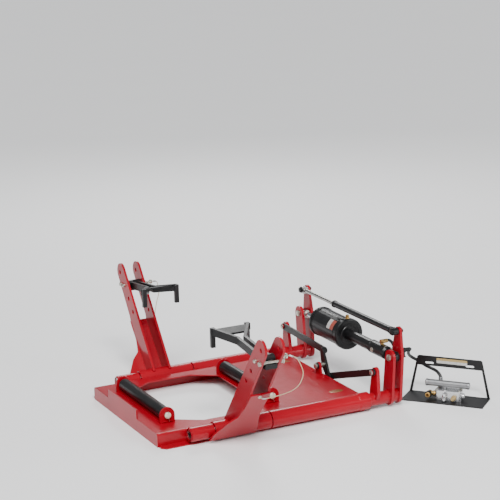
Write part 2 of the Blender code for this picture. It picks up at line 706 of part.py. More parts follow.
def stop_bolt():
    """Bolt across the tower that the hook's tail rests against."""
    half = TOWER_SPREAD / 2 + TOWER_PLATE / 2 + GAP
    profile = [(-half - 0.0045, 0), (-half - 0.0045, 0.0065), (-half, 0.0075), (-half, STOP_RADIUS),
               (half + 0.001, STOP_RADIUS), (half + 0.001, 0.0070), (half + 0.006, 0.0070),
               (half + 0.006, 0)]
    return turned(profile, "x", on_tower(TYRE_X, *STOP_AT), 12)


def lever_pin(left, right, y, z):
    """A headed pin across the lever plates."""
    pin = LEVER_PIN_RADIUS
    profile = [(left - 0.005, 0), (left - 0.005, 0.0075), (left - 0.0035, 0.009), (left - GAP, 0.009),
               (left - GAP, pin), (right + GAP, pin), (right + GAP, 0.0085), (right + 0.0035, 0.0085),
               (right + 0.0035, 0)]
    return turned(profile, "x", (0, y, z), 16)


def cylinder_pin():
    """Pin of the air cylinder across both lever plates."""
    left = INNER_LEVER_X - LEVER_PLATE / 2
    return lever_pin(left, OUTER_LEVER_X + LEVER_PLATE / 2, CYL_PIN_Y, CYL_PIN_Z)


def strut_pin():
    """Pin of the return strut in the outer lever's top."""
    return lever_pin(CYL_X - TONGUE / 2, OUTER_LEVER_X + LEVER_PLATE / 2, TUBE_PIN_Y, TUBE_PIN_Z)


def detent_pin():
    """Quick-release pin through the tower and the hook, with its pull ring's head."""
    left = -TOWER_SPREAD / 2 - TOWER_PLATE / 2 - 0.010
    right = TOWER_SPREAD / 2 + TOWER_PLATE / 2
    pin = PIN_RADIUS
    profile = [(left, 0), (left + 0.002, 0.0045), (left + 0.004, pin), (right + GAP, pin),
               (right + GAP, 0.011), (right + 0.010, 0.011), (right + 0.012, 0.009), (right + 0.012, 0.0045),
               (right + 0.030, 0.0045), (right + 0.030, 0.008), (right + 0.037, 0.008), (right + 0.037, 0)]
    return turned(profile, "x", HOOK_PIN, 20)


def lanyard_route():
    """Wire from the detent pin's end, out in a loop and back to the cover."""
    end = TYRE_X + TOWER_SPREAD / 2 + TOWER_PLATE / 2 + 0.037 + GAP
    outer = [(0.019, 0.357, -0.010), (0.029, 0.356, 0.0036), (0.039, 0.336, 0.037), (0.029, 0.309, 0.0577),
             (0.015, 0.280, 0.060)]
    inner = [(0.070, 0.2515, 0.0523), (0.045, 0.228, 0.044), (0.020, 0.222, 0.041),
             (0.003, COVER_TOP - 0.0125, COVER_FACE + 0.0040)]
    route = [Vector((end, HOOK_PIN.y, HOOK_PIN.z)), Vector((end + 0.006, HOOK_PIN.y, HOOK_PIN.z))]
    route += [on_tower(end + x, along, side) for x, along, side in outer]
    route += [on_tower(TYRE_X + x, along, side) for x, along, side in inner]
    route.append(on_tower(TYRE_X, COVER_TOP - 0.012, COVER_FACE + LANYARD_RADIUS + GAP))
    return route


def smooth_route(points, count):
    """Points spaced evenly along a smooth curve through a cord's own points."""
    ends = [Vector(points[0]) * 2 - Vector(points[1])]
    ends += [Vector(point) for point in points]
    ends.append(Vector(points[-1]) * 2 - Vector(points[-2]))
    fine = []
    for i in range(1, len(ends) - 2):
        for step in range(16):
            fine.append(between(ends[i - 1], ends[i], ends[i + 1], ends[i + 2], step / 16))
    fine.append(ends[-2])
    return spaced(fine, count)


def between(a, b, c, d, t):
    """A point of the Catmull-Rom curve from b to c."""
    return 0.5 * (2 * b + (c - a) * t + (2 * a - 5 * b + 4 * c - d) * t * t
                  + (3 * b - a - 3 * c + d) * t * t * t)


def spaced(fine, count):
    """The same line with evenly spaced points."""
    lengths = [0.0]
    for i in range(1, len(fine)):
        lengths.append(lengths[-1] + (fine[i] - fine[i - 1]).length)
    route = []
    place = 0
    for number in range(count):
        target = lengths[-1] * number / (count - 1)
        while place < len(fine) - 2 and lengths[place + 1] < target:
            place += 1
        share = (target - lengths[place]) / (lengths[place + 1] - lengths[place])
        route.append(fine[place].lerp(fine[place + 1], share))
    return route


def finger_path(side):
    """Middle line of one hook bar: along the arm, out to its tip, and down inside the bead."""
    near = 0.0125
    far = HOOK_SPREAD / 2
    y = HOOK_PIN.y
    z = HOOK_PIN.z
    return [Vector((TYRE_X + side * near, y + 0.004, z)),
            Vector((TYRE_X + side * near, y + 0.165, z + HOOK_RISE * 0.52)),
            Vector((TYRE_X + side * far, y + HOOK_REACH - 0.012, z + HOOK_RISE))]


def upright_bar(start, end, width, height, extend=0.0):
    """A flat bar on edge between two points."""
    way = (end - start).normalized()
    side = Vector((way.y, -way.x, 0)).normalized() * width / 2
    up = side.cross(way).normalized() * height / 2
    if up.z < 0:
        up = -up
    shape = bmesh.new()
    rows = []
    for point in (start - way * extend, end + way * extend):
        rows.append([shape.verts.new(point + a * side + b * up)
                     for a, b in ((-1, -1), (1, -1), (1, 1), (-1, 1))])
    shape.faces.new(rows[0])
    shape.faces.new(rows[1][::-1])
    for i in range(4):
        shape.faces.new((rows[0][i - 1], rows[0][i], rows[1][i], rows[1][i - 1]))
    return tidy(shape)


def hook():
    """Hook arm: hub and tail on the pin, two bars that part into fingers, and a web between them."""
    inside = TOWER_SPREAD - TOWER_PLATE - 2 * 0.0015
    hub_body = rod("x", HOOK_PIN, -inside / 2, inside / 2, HOOK_HUB_RADIUS, 20)
    tail_low = HOOK_PIN.z - 0.0210
    tail_top = on_tower(TYRE_X, *STOP_AT).z - STOP_RADIUS - GAP
    tail = block((TYRE_X - 0.020, HOOK_PIN.y - HOOK_TAIL, tail_low),
                 (TYRE_X + 0.020, HOOK_PIN.y + 0.006, tail_top))
    joins = [tail]
    for side in (-1, 1):
        root, knee, tip = finger_path(side)
        joins.append(upright_bar(root, knee, HOOK_BAR, HOOK_BAR_HEIGHT))
        joins.append(upright_bar(knee, tip, HOOK_BAR, HOOK_BAR_HEIGHT, HOOK_BAR * 0.35))
        low = tip.z + HOOK_BAR_HEIGHT / 2 - HOOK_DROP
        joins.append(block((tip.x - HOOK_BAR * 0.7, tip.y, low),
                           (tip.x + HOOK_BAR * 0.7, tip.y + 0.012, tip.z + HOOK_BAR_HEIGHT / 2 - 0.0007)))
    joins.append(hook_web())
    bore = rod("x", HOOK_PIN, -0.04, 0.04, PIN_RADIUS + RUN, 20)
    return combined(hub_body, joins=joins, cuts=[bore])


def hook_web():
    """Web plate between the fingers, which bears on the bead."""
    knee = finger_path(1)[1]
    tip = finger_path(1)[2]
    near = knee.lerp(tip, 0.42)
    far = knee.lerp(tip, 0.96)
    drop = HOOK_BAR_HEIGHT / 2 - 0.0045
    shape = bmesh.new()
    rows = []
    for level in (-0.003, 0.003):
        ring = []
        for point in (near, far):
            reach = point.x - TYRE_X
            z = point.z + drop + level
            pair = ((-reach, point.y, z), (reach, point.y, z))
            ring += [Vector((TYRE_X + a, b, c)) for a, b, c in (pair if point is near else pair[::-1])]
        rows.append([shape.verts.new(place) for place in ring])
    shape.faces.new(rows[0])
    shape.faces.new(rows[1][::-1])
    for i in range(4):
        shape.faces.new((rows[0][i - 1], rows[0][i], rows[1][i], rows[1][i - 1]))
    return tidy(shape)


# ---------------------------------------------------------------- air cylinder and return tube
def eye(y, z, radius, reach, hole):
    """A flat eye between the lever plates; reach is how far its shank runs along +Y or -Y."""
    half = TONGUE / 2
    place = (CYL_X, y, z)
    ring = rod("x", place, -half, half, radius, 24)
    low = min(y, y + reach)
    high = max(y, y + reach)
    shank = block((CYL_X - half, low, z - radius * 0.86), (CYL_X + half, high, z + radius * 0.86))
    bore = rod("x", place, -0.03, 0.03, hole, 20)
    return ring, shank, bore


BLOCK_FRONT = CYL_PIN_Y + BLOCK_SETBACK
TUBE_FRONT = BLOCK_FRONT + BLOCK_LENGTH
CAP_FRONT = TUBE_FRONT + EXTENSION_LENGTH
BARREL_FRONT = CAP_FRONT + CAP_THICKNESS
BARREL_BACK = BARREL_FRONT + BARREL_LENGTH
AIRWAY = 0.004


def end_block():
    """Block on the cylinder's front end: eye, air port and airway into the extension tube."""
    ring, shank, bore = eye(CYL_PIN_Y, CYL_PIN_Z, 0.0165, BLOCK_SETBACK + 0.004, LEVER_PIN_RADIUS + RUN)
    place = (CYL_X, BLOCK_FRONT, CYL_PIN_Z)
    profile = [(0, 0), (0, BLOCK_RADIUS - 0.006), (0.006, BLOCK_RADIUS),
               (BLOCK_LENGTH - 0.002, BLOCK_RADIUS),
               (BLOCK_LENGTH, BLOCK_RADIUS - 0.002), (BLOCK_LENGTH, 0)]
    body = turned(profile, "y", place, 28)
    airway = rod("y", place, 0.026, BLOCK_LENGTH + 0.01, AIRWAY, 12)
    port = rod("z", (CYL_X, BLOCK_FRONT + PORT_SETBACK, CYL_PIN_Z), 0.0, 0.05, 0.0055, 12)
    return combined(ring, joins=[shank, body], cuts=[bore, airway, port])


def extension_tube():
    """Tube that carries the air and the thrust from the end block to the front cap."""
    place = (CYL_X, TUBE_FRONT + GAP, CYL_PIN_Z)
    return pipe("y", place, 0, EXTENSION_LENGTH - 2 * GAP, EXTENSION_RADIUS, EXTENSION_BORE, 28)


def front_cap():
    """Front cap of the cylinder: stepped disc with its raised ring and air passage."""
    thick = CAP_THICKNESS
    outer = CAP_RADIUS
    spigot = CYL_BORE - GAP
    profile = [(0, AIRWAY), (0, 0.030), (0.0015, 0.032), (0.0015, 0.037), (0, 0.039), (0, outer - 0.005),
               (0.0015, outer - 0.0015), (0.004, outer), (thick - GAP - 0.002, outer),
               (thick - GAP, outer - 0.002),
               (thick - GAP, spigot), (thick + 0.008, spigot), (thick + 0.008, AIRWAY)]
    return turned(profile, "y", (CYL_X, CAP_FRONT, CYL_PIN_Z), 36)


def barrel():
    """Cylinder barrel."""
    place = (CYL_X, BARREL_FRONT, CYL_PIN_Z)
    return pipe("y", place, 0, BARREL_LENGTH, CYL_RADIUS, CYL_BORE, 36)


def rear_cap():
    """Rear cap with the rod's bore and its vent."""
    thick = REAR_CAP_THICKNESS
    rod_bore = ROD_RADIUS + RUN
    place = (CYL_X, BARREL_BACK + GAP, CYL_PIN_Z)
    profile = [(-0.009, rod_bore), (-0.009, CYL_BORE - GAP), (0, CYL_BORE - GAP), (0, CYL_RADIUS + 0.002),
               (thick - 0.003, CYL_RADIUS + 0.002), (thick, CYL_RADIUS - 0.001), (thick, rod_bore)]
    return turned(profile, "y", place, 36)


def rear_eye_y():
    """Where the rod's eye is held by the rear levers."""
    return 2 * MID_Y - CYL_PIN_Y


def piston_rod():
    """Rod with its eye at the rear levers."""
    end = rear_eye_y()
    ring, shank, bore = eye(end, CYL_PIN_Z, 0.0155, -0.020, LEVER_PIN_RADIUS + EYE_PLAY)
    start = PISTON_FRONT + PISTON_THICKNESS + GAP
    bar = rod("y", (CYL_X, 0, CYL_PIN_Z), start, end - 0.014, ROD_RADIUS, 20)
    return combined(ring, joins=[shank, bar], cuts=[bore])


PISTON_FRONT = BARREL_BACK - 0.009 - PISTON_THICKNESS - OPEN_STROKE


def piston():
    """Piston with its seal groove."""
    outer = CYL_BORE - RUN
    groove = outer - 0.004
    profile = [(0, 0), (0, outer), (0.0055, outer), (0.0055, groove), (0.0105, groove), (0.0105, outer),
               (PISTON_THICKNESS, outer), (PISTON_THICKNESS, 0)]
    return turned(profile, "y", (CYL_X, PISTON_FRONT, CYL_PIN_Z), 36)


def piston_seal():
    """Rubber ring in the piston's groove."""
    outer = CYL_BORE - 0.0001
    inner = CYL_BORE - RUN - 0.004 + GAP
    return pipe("y", (CYL_X, PISTON_FRONT, CYL_PIN_Z), 0.0058, 0.0102, outer - 0.0001, inner, 36)


def return_tube():
    """Outer tube of the return strut between the lever tops, open at the rear."""
    ring, shank, bore = eye(TUBE_PIN_Y, TUBE_PIN_Z, 0.0120, 0.018, LEVER_PIN_RADIUS + RUN)
    place = (CYL_X, TUBE_PIN_Y, TUBE_PIN_Z)
    wall = 0.030
    end = wall - 0.016 + RETURN_TUBE_LENGTH
    profile = [(0.014, 0), (0.014, RETURN_TUBE_RADIUS), (end, RETURN_TUBE_RADIUS), (end, RETURN_TUBE_BORE),
               (wall, RETURN_TUBE_BORE), (wall, 0)]
    tube = turned(profile, "y", place, 24)
    return combined(ring, joins=[shank, tube], cuts=[bore])


def return_rod():
    """Inner rod of the return strut, with its guide collar and eye."""
    end = 2 * MID_Y - TUBE_PIN_Y
    ring, shank, bore = eye(end, TUBE_PIN_Z, 0.0120, -0.018, LEVER_PIN_RADIUS + EYE_PLAY)
    start = TUBE_PIN_Y + 0.014 + RETURN_TUBE_LENGTH - 0.060
    collar = RETURN_TUBE_BORE - RUN
    profile = [(start, 0), (start, collar), (start + 0.014, collar), (start + 0.014, RETURN_ROD_RADIUS),
               (end - 0.012, RETURN_ROD_RADIUS), (end - 0.012, 0)]
    bar = turned(profile, "y", (CYL_X, 0, TUBE_PIN_Z), 20)
    return combined(ring, joins=[shank, bar], cuts=[bore])


# ---------------------------------------------------------------- equalizer
def flat_link(x, thickness, ends, holes):
    """A flat bar across X with round ends and a hole at each."""
    circles = [(y, z, LINK_WIDTH / 2) for y, z in ends]
    bar = prism(around(circles), thickness, (x + thickness / 2, 0, 0), (0, 1, 0), (0, 0, 1))
    cuts = []
    for (y, z), radius in zip(ends, holes):
        cuts.append(rod("x", (x + thickness / 2, y, z), -0.02, 0.02, radius, 18))
    return combined(bar, cuts=cuts)


def rocker():
    """Rocker of the equalizer, on its ear, with a riveted stud at each end."""
    circles = [(ELBOW_Y, ELBOW_Z, 0.011), (MID_Y, ROCKER_HEIGHT, 0.013), (FAR_ELBOW_Y, FAR_ELBOW_Z, 0.011)]
    middle = (ROCKER_X + ROCKER_BAR / 2, 0, 0)
    bar = prism(around(circles), ROCKER_BAR, middle, (0, 1, 0), (0, 0, 1))
    bore = rod("x", (ROCKER_X, MID_Y, ROCKER_HEIGHT), -0.02, 0.02, LEVER_PIN_RADIUS + RUN, 18)
    return combined(bar, joins=elbow_studs(), cuts=[bore])


def elbow_studs():
    """The studs at the rocker's two ends, headed outside the links."""
    pins = []
    inner = ROCKER_X + 0.0005
    outer = LINK_X + LINK_BAR + GAP
    head = outer + 0.0032
    for y, z in ((ELBOW_Y, ELBOW_Z), (FAR_ELBOW_Y, FAR_ELBOW_Z)):
        profile = [(inner, 0), (inner, STUD_RADIUS), (outer, STUD_RADIUS), (outer, 0.0105),
                   (head - 0.001, 0.0105), (head, 0.0095), (head, 0)]
        pins.append(turned(profile, "x", (0, y, z), 16))
    return pins


def front_link():
    """Link from the front post to the rocker's lower end."""
    ends = [(POST_PIN_Y, POST_PIN_Z), (ELBOW_Y, ELBOW_Z)]
    return flat_link(LINK_X, LINK_BAR, ends, [LEVER_PIN_RADIUS + RUN, STUD_RADIUS + FRONT_LINK_PLAY])


def rear_link():
    """Link from the rear post to the rocker's upper end."""
    ends = [(2 * MID_Y - POST_PIN_Y, POST_PIN_Z), (FAR_ELBOW_Y, FAR_ELBOW_Z)]
    return flat_link(LINK_X, LINK_BAR, ends, [LEVER_PIN_RADIUS + RUN, STUD_RADIUS + REAR_LINK_PLAY])


# ---------------------------------------------------------------- foot valve
def pedal_frame():
    """The matrix that places a foot valve piece made about its own middle."""
    return Matrix.Translation((*PEDAL_AT, 0)) @ Matrix.Rotation(PEDAL_TURN, 4, "Z")


def at_pedal(shape):
    """Move a piece from the foot valve's own directions into place."""
    shape.transform(pedal_frame())
    return shape


def guard():
    """Floor plate and windowed guard, folded from one sheet."""
    half = PEDAL_WIDTH / 2
    top = PEDAL_TOP_WIDTH / 2
    deep = PEDAL_DEPTH / 2
    floor = block((-half, -deep, 0), (half, deep, PEDAL_SHEET))
    outline = [(-half, 0), (half, 0)]
    outline += arc((top - 0.008, PEDAL_HEIGHT - 0.008), 0.008, 10, 90, 4)
    outline += arc((0.008 - top, PEDAL_HEIGHT - 0.008), 0.008, 90, 170, 4)
    panel_y = deep - PEDAL_SHEET / 2 - 0.0001
    panel = prism(outline, PEDAL_SHEET, (0, panel_y, 0.0001), (1, 0, 0), (0, 0, 1))
    sill = PEDAL_SHEET + 0.001
    head = PEDAL_HEIGHT - PEDAL_BAR
    slope = (half - top) / PEDAL_HEIGHT
    low = half - PEDAL_POST - slope * sill
    high = half - PEDAL_POST - slope * head
    window = prism([(-low, sill), (low, sill), (high, head), (-high, head)], 0.02,
                   (0, panel_y, 0), (1, 0, 0), (0, 0, 1))
    cuts = [window]
    for middle in (-0.070, 0.070):
        slot = around([(middle - 0.011, head + 0.010, 0.0038), (middle + 0.011, head + 0.010, 0.0038)], 12)
        cuts.append(prism(slot, 0.02, (0, panel_y, 0), (1, 0, 0), (0, 0, 1)))
    return at_pedal(combined(floor, joins=[panel], cuts=cuts))


def valve_body():
    """Valve body with the collar round its spool and the spool's bore."""
    half = VALVE_LENGTH / 2
    deep = VALVE_DEPTH / 2
    top = VALVE_LOW + VALVE_HEIGHT
    ends = around([(-half + 0.012, 0.012 - deep, 0.012), (half - 0.012, 0.012 - deep, 0.012),
                   (-half + 0.012, deep - 0.012, 0.012), (half - 0.012, deep - 0.012, 0.012)], 16)
    body = prism(ends, VALVE_HEIGHT, (VALVE_OFFSET, 0, VALVE_LOW + VALVE_HEIGHT / 2), (1, 0, 0), (0, 1, 0))
    collar = rod("z", (STEM_X, STEM_Y, 0), top - 0.004, top + 0.002, 0.0125, 20)
    bore = rod("z", (STEM_X, STEM_Y, 0), VALVE_LOW + 0.006, top + 0.02, STEM_RADIUS + RUN, 16)
    return at_pedal(combined(body, joins=[collar], cuts=[bore]))


def treadle():
    """Cross bar, neck and spool that the foot pushes down."""
    bar = rod("x", (VALVE_OFFSET - 0.004, STEM_Y, TREADLE_HEIGHT), -TREADLE_LENGTH / 2, TREADLE_LENGTH / 2,
              TREADLE_RADIUS, 20, 0.003)
    low = VALVE_LOW + 0.006 + TREADLE_TRAVEL + 0.004
    stem = rod("z", (STEM_X, STEM_Y, 0), low, TREADLE_HEIGHT, STEM_RADIUS, 16)
    return at_pedal(combined(bar, joins=[stem]))


def valve_spring():
    """Return spring under the spool, as the tube it fills."""
    low = VALVE_LOW + 0.006 + GAP
    high = low + TREADLE_TRAVEL + 0.004 - 2 * GAP
    return at_pedal(pipe("z", (STEM_X, STEM_Y, 0), low, high, 0.0052, 0.0038, 14))


def muffler():
    """Sintered exhaust muffler on the front of the valve."""
    front = -VALVE_DEPTH / 2 - GAP
    profile = [(front - 0.017, 0), (front - 0.017, 0.0055), (front - 0.015, 0.0068), (front - 0.006, 0.0068),
               (front - 0.006, 0.0085), (front, 0.0085), (front, 0)]
    return at_pedal(turned(profile, "y", (VALVE_OFFSET + 0.0220, 0, VALVE_LOW + 0.013), 16))


def inlet_elbow():
    """Inlet elbow on the valve's left end, where the shop's air line plugs in."""
    left = VALVE_OFFSET - VALVE_LENGTH / 2
    z = VALVE_LOW + 0.016
    neck = rod("x", (0, 0, z), left - 0.024, left - GAP, 0.0075, 16)
    mouth = rod("y", (left - 0.022, 0, z), -0.026, 0.0075, 0.0088, 16, 0.0008)
    bore = rod("y", (left - 0.022, 0, z), -0.03, -0.012, 0.0055, 12)
    return at_pedal(combined(neck, joins=[mouth], cuts=[bore]))


def outlet_barb():
    """Upright fitting on top of the valve that the air hose pushes onto."""
    top = VALVE_LOW + VALVE_HEIGHT + GAP
    profile = [(top, 0), (top, 0.0068), (top + 0.005, 0.0068), (top + 0.006, 0.0052),
               (OUTLET_END - 0.012, 0.0052), (OUTLET_END - 0.012, 0.0066), (OUTLET_END, 0.0066),
               (OUTLET_END, 0)]
    return at_pedal(turned(profile, "z", (OUTLET_X, OUTLET_Y, 0), 18))


# ---------------------------------------------------------------- air line
UNION_LEFT = OUTER_LEVER_X + LEVER_PLATE / 2 + 0.0300
UNION_RIGHT = UNION_LEFT + 0.0260
UNION_Y = 0.0180
UNION_Z = 0.1720
FITTING_Y = BLOCK_FRONT + PORT_SETBACK
FITTING_Z = CYL_PIN_Z + 0.0320
FITTING_OUT = CYL_X + 0.0190


def block_fitting():
    """Elbow on top of the end block, turned towards +X."""
    low = CYL_PIN_Z + BLOCK_RADIUS + GAP
    riser = rod("z", (CYL_X, FITTING_Y, 0), low, FITTING_Z + 0.0055, 0.0066, 16)
    mouth = rod("x", (0, FITTING_Y, FITTING_Z), CYL_X - 0.0066, FITTING_OUT, 0.0070, 16)
    return combined(riser, joins=[mouth])


def hose_union():
    """Union that joins the whip to the hose, on a foot fixed to the outer lever."""
    place = (0, UNION_Y, UNION_Z)
    profile = [(UNION_LEFT, 0), (UNION_LEFT, 0.0072), (UNION_LEFT + 0.008, 0.0072),
               (UNION_LEFT + 0.008, 0.0088), (UNION_RIGHT - 0.008, 0.0088), (UNION_RIGHT - 0.008, 0.0072),
               (UNION_RIGHT, 0.0072), (UNION_RIGHT, 0)]
    union = turned(profile, "x", place, 18)
    face = OUTER_LEVER_X + LEVER_PLATE / 2 + GAP
    low = UNION_Z - 0.024
    strap = block((face, CYL_PIN_Y + 0.0115, low), (face + 0.003, UNION_Y + 0.004, low + 0.012))
    shelf = block((face, UNION_Y - 0.006, low), (UNION_LEFT + 0.018, UNION_Y + 0.004, low + 0.004))
    riser = block((UNION_LEFT + 0.010, UNION_Y - 0.004, low), (UNION_LEFT + 0.016, UNION_Y + 0.004, UNION_Z))
    return combined(union, joins=[strap, shelf, riser])


def pedal_point(x, y, z):
    """A place given in the foot valve's own directions."""
    return pedal_frame() @ Vector((x, y, z))


def whip_route():
    """Short flexible line from the block's elbow to the union."""
    return smooth_route([
        (FITTING_OUT + 4 * GAP, FITTING_Y, FITTING_Z), (FITTING_OUT + 0.0080, FITTING_Y, FITTING_Z),
        (FITTING_OUT + 0.0160, FITTING_Y - 0.0060, FITTING_Z - 0.0080),
        (UNION_LEFT - 0.0140, UNION_Y + 0.0080, UNION_Z + 0.0060),
        (UNION_LEFT - 0.0070, UNION_Y, UNION_Z), (UNION_LEFT - 3 * GAP, UNION_Y, UNION_Z)], 11)


def hose_route():
    """Hose from the union to the foot valve, past the back of the guard and in through its window."""
    outside = [(UNION_RIGHT + 2 * GAP, UNION_Y, UNION_Z), (UNION_RIGHT + 0.0120, UNION_Y, UNION_Z),
               (RIGHT + 0.1980, 0.0420, 0.1580), (RIGHT + 0.2160, 0.0720, 0.1360),
               (RIGHT + 0.2400, 0.0900, 0.1160),
               (RIGHT + 0.2610, 0.0800, 0.1020), (RIGHT + 0.2730, 0.0530, 0.0905)]
    inside = [(-0.0380, 0.0350, 0.0270), (-0.0220, 0.0200, 0.0265), (-0.0080, 0.0070, 0.0210),
              (0, 0, 0.0110), (0, 0, 2 * GAP)]
    drop = [pedal_point(OUTLET_X + x, OUTLET_Y + y, OUTLET_END + z) for x, y, z in inside]
    return smooth_route(outside + drop, 26)


# ---------------------------------------------------------------- the whole machine
def build_base(maker):
    """The base and what is fixed to it."""
    maker.add("base_pan", base_pan(), "red_paint")
    maker.add("left_end_plate", left_end_plate(), "red_paint")
    for name, side in (("left", -1), ("right", 1)):
        maker.add(name + "_roller_cradle", cradle(side), "red_paint")
        maker.add(name + "_axle", axle(side), "zinc")
        maker.add(name + "_roller", roller_tube(side), "black_paint", name + "_roller")
    maker.pair("sleeve", sleeve, "red_paint")
    maker.pair("stub_bearing", stub, "red_paint")
    maker.pair("bush", bush, "bronze")
    maker.add("equalizer_ear", equalizer_ear(), "red_paint")
    maker.add("equalizer_bolt", equalizer_bolt(), "zinc")


def build_arms(maker):
    """The two spreading arms with their hooks and levers."""
    maker.pair("shaft", shaft, "bare_steel", "arm")
    maker.pair("tower", tower, "red_paint", "arm")
    maker.pair("cover", cover, "red_paint", "arm")
    maker.pair("levers", levers, "red_paint", "arm")
    maker.pair("cylinder_pin", cylinder_pin, "zinc", "arm")
    maker.pair("strut_pin", strut_pin, "zinc", "arm")
    maker.pair("stop_bolt", stop_bolt, "zinc", "arm")
    maker.pair("detent_pin", detent_pin, "zinc", "arm")
    maker.pair("hook", hook, "black_paint", "hook")
    route = smooth_route(lanyard_route(), 24)
    maker.cord("front_lanyard", route, LANYARD_RADIUS, "zinc", "front_arm")
    back = [turned_over(point) for point in route]
    maker.cord("rear_lanyard", back, LANYARD_RADIUS, "zinc", "rear_arm")


def build_drive(maker):
    """The air cylinder, the return strut and the equalizer."""
    maker.add("end_block", end_block(), "black_paint", "cylinder")
    maker.add("extension_tube", extension_tube(), "black_paint", "cylinder")
    maker.add("front_cap", front_cap(), "black_paint", "cylinder")
    maker.add("barrel", barrel(), "black_paint", "cylinder")
    maker.add("rear_cap", rear_cap(), "black_paint", "cylinder")
    maker.add("block_fitting", block_fitting(), "brass", "cylinder")
    maker.add("piston_rod", piston_rod(), "bare_steel", "piston_rod")
    maker.add("piston", piston(), "valve_silver", "piston_rod")
    maker.add("piston_seal", piston_seal(), "hose_rubber", "piston_rod")
    maker.add("return_tube", return_tube(), "black_paint", "return_tube")
    maker.add("return_rod", return_rod(), "bare_steel", "return_rod")
    maker.add("rocker", rocker(), "black_paint", "rocker")
    maker.add("front_link", front_link(), "black_paint", "front_link")
    maker.add("rear_link", rear_link(), "black_paint", "rear_link")


def build_foot_valve(maker):
    """The foot valve and the air line."""
    maker.add("pedal_guard", guard(), "black_paint")
    maker.add("valve_body", valve_body(), "valve_silver")
    maker.add("treadle", treadle(), "valve_silver", "treadle")
    maker.add("valve_spring", valve_spring(), "bare_steel", "treadle")
    maker.add("muffler", muffler(), "brass")
    maker.add("inlet_elbow", inlet_elbow(), "brass")
    maker.add("outlet_barb", outlet_barb(), "valve_silver")
    maker.add("hose_union", hose_union(), "black_paint", "front_arm")
    maker.cord("air_whip", whip_route(), HOSE_RADIUS, "hose_rubber", "cylinder")
    maker.cord("air_hose", hose_route(), HOSE_RADIUS, "hose_rubber")


def main():
    """Build the whole machine."""
    clear_scene()
    maker = Maker()
    build_base(maker)
    build_arms(maker)
    build_drive(maker)
    build_foot_valve(maker)


main()
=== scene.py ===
import json
from math import cos, pi, radians, sin, sqrt

import bmesh
import bpy
from mathutils import Matrix, Vector


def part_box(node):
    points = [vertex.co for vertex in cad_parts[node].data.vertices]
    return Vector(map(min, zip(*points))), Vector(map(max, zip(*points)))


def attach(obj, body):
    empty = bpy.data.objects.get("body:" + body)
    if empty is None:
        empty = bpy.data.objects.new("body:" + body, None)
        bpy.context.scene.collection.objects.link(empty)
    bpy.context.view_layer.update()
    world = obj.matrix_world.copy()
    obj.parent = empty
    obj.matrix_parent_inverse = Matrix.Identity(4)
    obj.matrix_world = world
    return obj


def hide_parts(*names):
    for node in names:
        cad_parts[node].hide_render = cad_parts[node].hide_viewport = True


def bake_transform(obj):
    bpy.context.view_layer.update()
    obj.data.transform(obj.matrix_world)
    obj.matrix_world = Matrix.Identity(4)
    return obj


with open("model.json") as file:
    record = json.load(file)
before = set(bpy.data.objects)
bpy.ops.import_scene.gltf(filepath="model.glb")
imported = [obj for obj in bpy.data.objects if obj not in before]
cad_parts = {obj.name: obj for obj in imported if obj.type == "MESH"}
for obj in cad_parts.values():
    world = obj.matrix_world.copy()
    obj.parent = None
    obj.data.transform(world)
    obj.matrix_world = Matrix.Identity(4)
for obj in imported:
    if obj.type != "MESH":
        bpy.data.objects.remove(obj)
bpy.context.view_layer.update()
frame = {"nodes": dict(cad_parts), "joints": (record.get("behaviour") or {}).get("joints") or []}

# Looks of a pneumatic floor spreader for tyre beads: finishes, welds, fixings, cords, room and camera.
# Metres, +Z up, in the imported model's own frame.  The rear is the front turned over about y = mid_y.
joint = {row["name"]: Vector(row["pos_m"]) for row in frame["joints"]}
mid_y = (joint["front_arm_swing"].y + joint["rear_arm_swing"].y) / 2
ENDS = (("front", 1), ("rear", -1))


# ---------------------------------------------------------------- base pan and end plate
# A hat-section pan folded from 4 mm sheet with its foot flanges, and an end plate whose fin keeps
# the tyre on the rollers.  Sprayed with gloss red enamel that tyres have scuffed on the deck.

class Wire:
    """One output of a shader node: sums on it add Math nodes, and make() adds any other node."""

    def __init__(self, tree, socket=None):
        self.tree = tree
        self.socket = socket

    def make(self, kind, settings=None, values=None, out=0):
        """A new node with its settings, then its inputs; gives back one of its outputs."""
        node = self.tree.nodes.new(kind)
        for name, value in (settings or {}).items():
            setattr(node, name, value)
        for name, value in (values or {}).items():
            self.feed(node.inputs[name], value)
        return Wire(self.tree, node.outputs[out])

    def feed(self, socket, value):
        """Link a wire to a socket, or set the socket's own value."""
        if isinstance(value, Wire):
            self.tree.links.new(value.socket, socket)
        elif socket.type == "RGBA":
            socket.default_value = (*value, 1.0)
        else:
            socket.default_value = value

    def math(self, operation, first, second=0.0):
        return self.make("ShaderNodeMath", {"operation": operation}, {0: first, 1: second})

    def __add__(self, other):
        return self.math("ADD", self, other)

    def __radd__(self, other):
        return self.math("ADD", other, self)

    def __mul__(self, other):
        return self.math("MULTIPLY", self, other)

    def __rmul__(self, other):
        return self.math("MULTIPLY", other, self)

    def rise(self, low, high):
        """0 below low, 1 above high, and a straight rise between."""
        return self.make("ShaderNodeMapRange", {}, {0: self, 1: low, 2: high})

    def noise(self, scale, detail=3.0):
        """Cloudy noise at this place, so many lumps to the metre."""
        return self.make("ShaderNodeTexNoise", {}, {"Vector": self, "Scale": scale, "Detail": detail})

    def cells(self, scale):
        """Distance to the nearest of so many grains to the metre."""
        return self.make("ShaderNodeTexVoronoi", {}, {"Vector": self, "Scale": scale})

    def stretched(self, scale):
        """This place with its axes scaled apart."""
        return self.make("ShaderNodeMapping", {}, {"Vector": self, "Scale": scale})

    def part(self, axis):
        """One axis of a place."""
        return self.make("ShaderNodeSeparateXYZ", {}, {0: self}, out=axis)

    def tint(self, factor, first, second):
        """From the first colour to the second."""
        return self.make("ShaderNodeMix", {"data_type": "RGBA"}, {0: factor, 6: first, 7: second}, out=2)


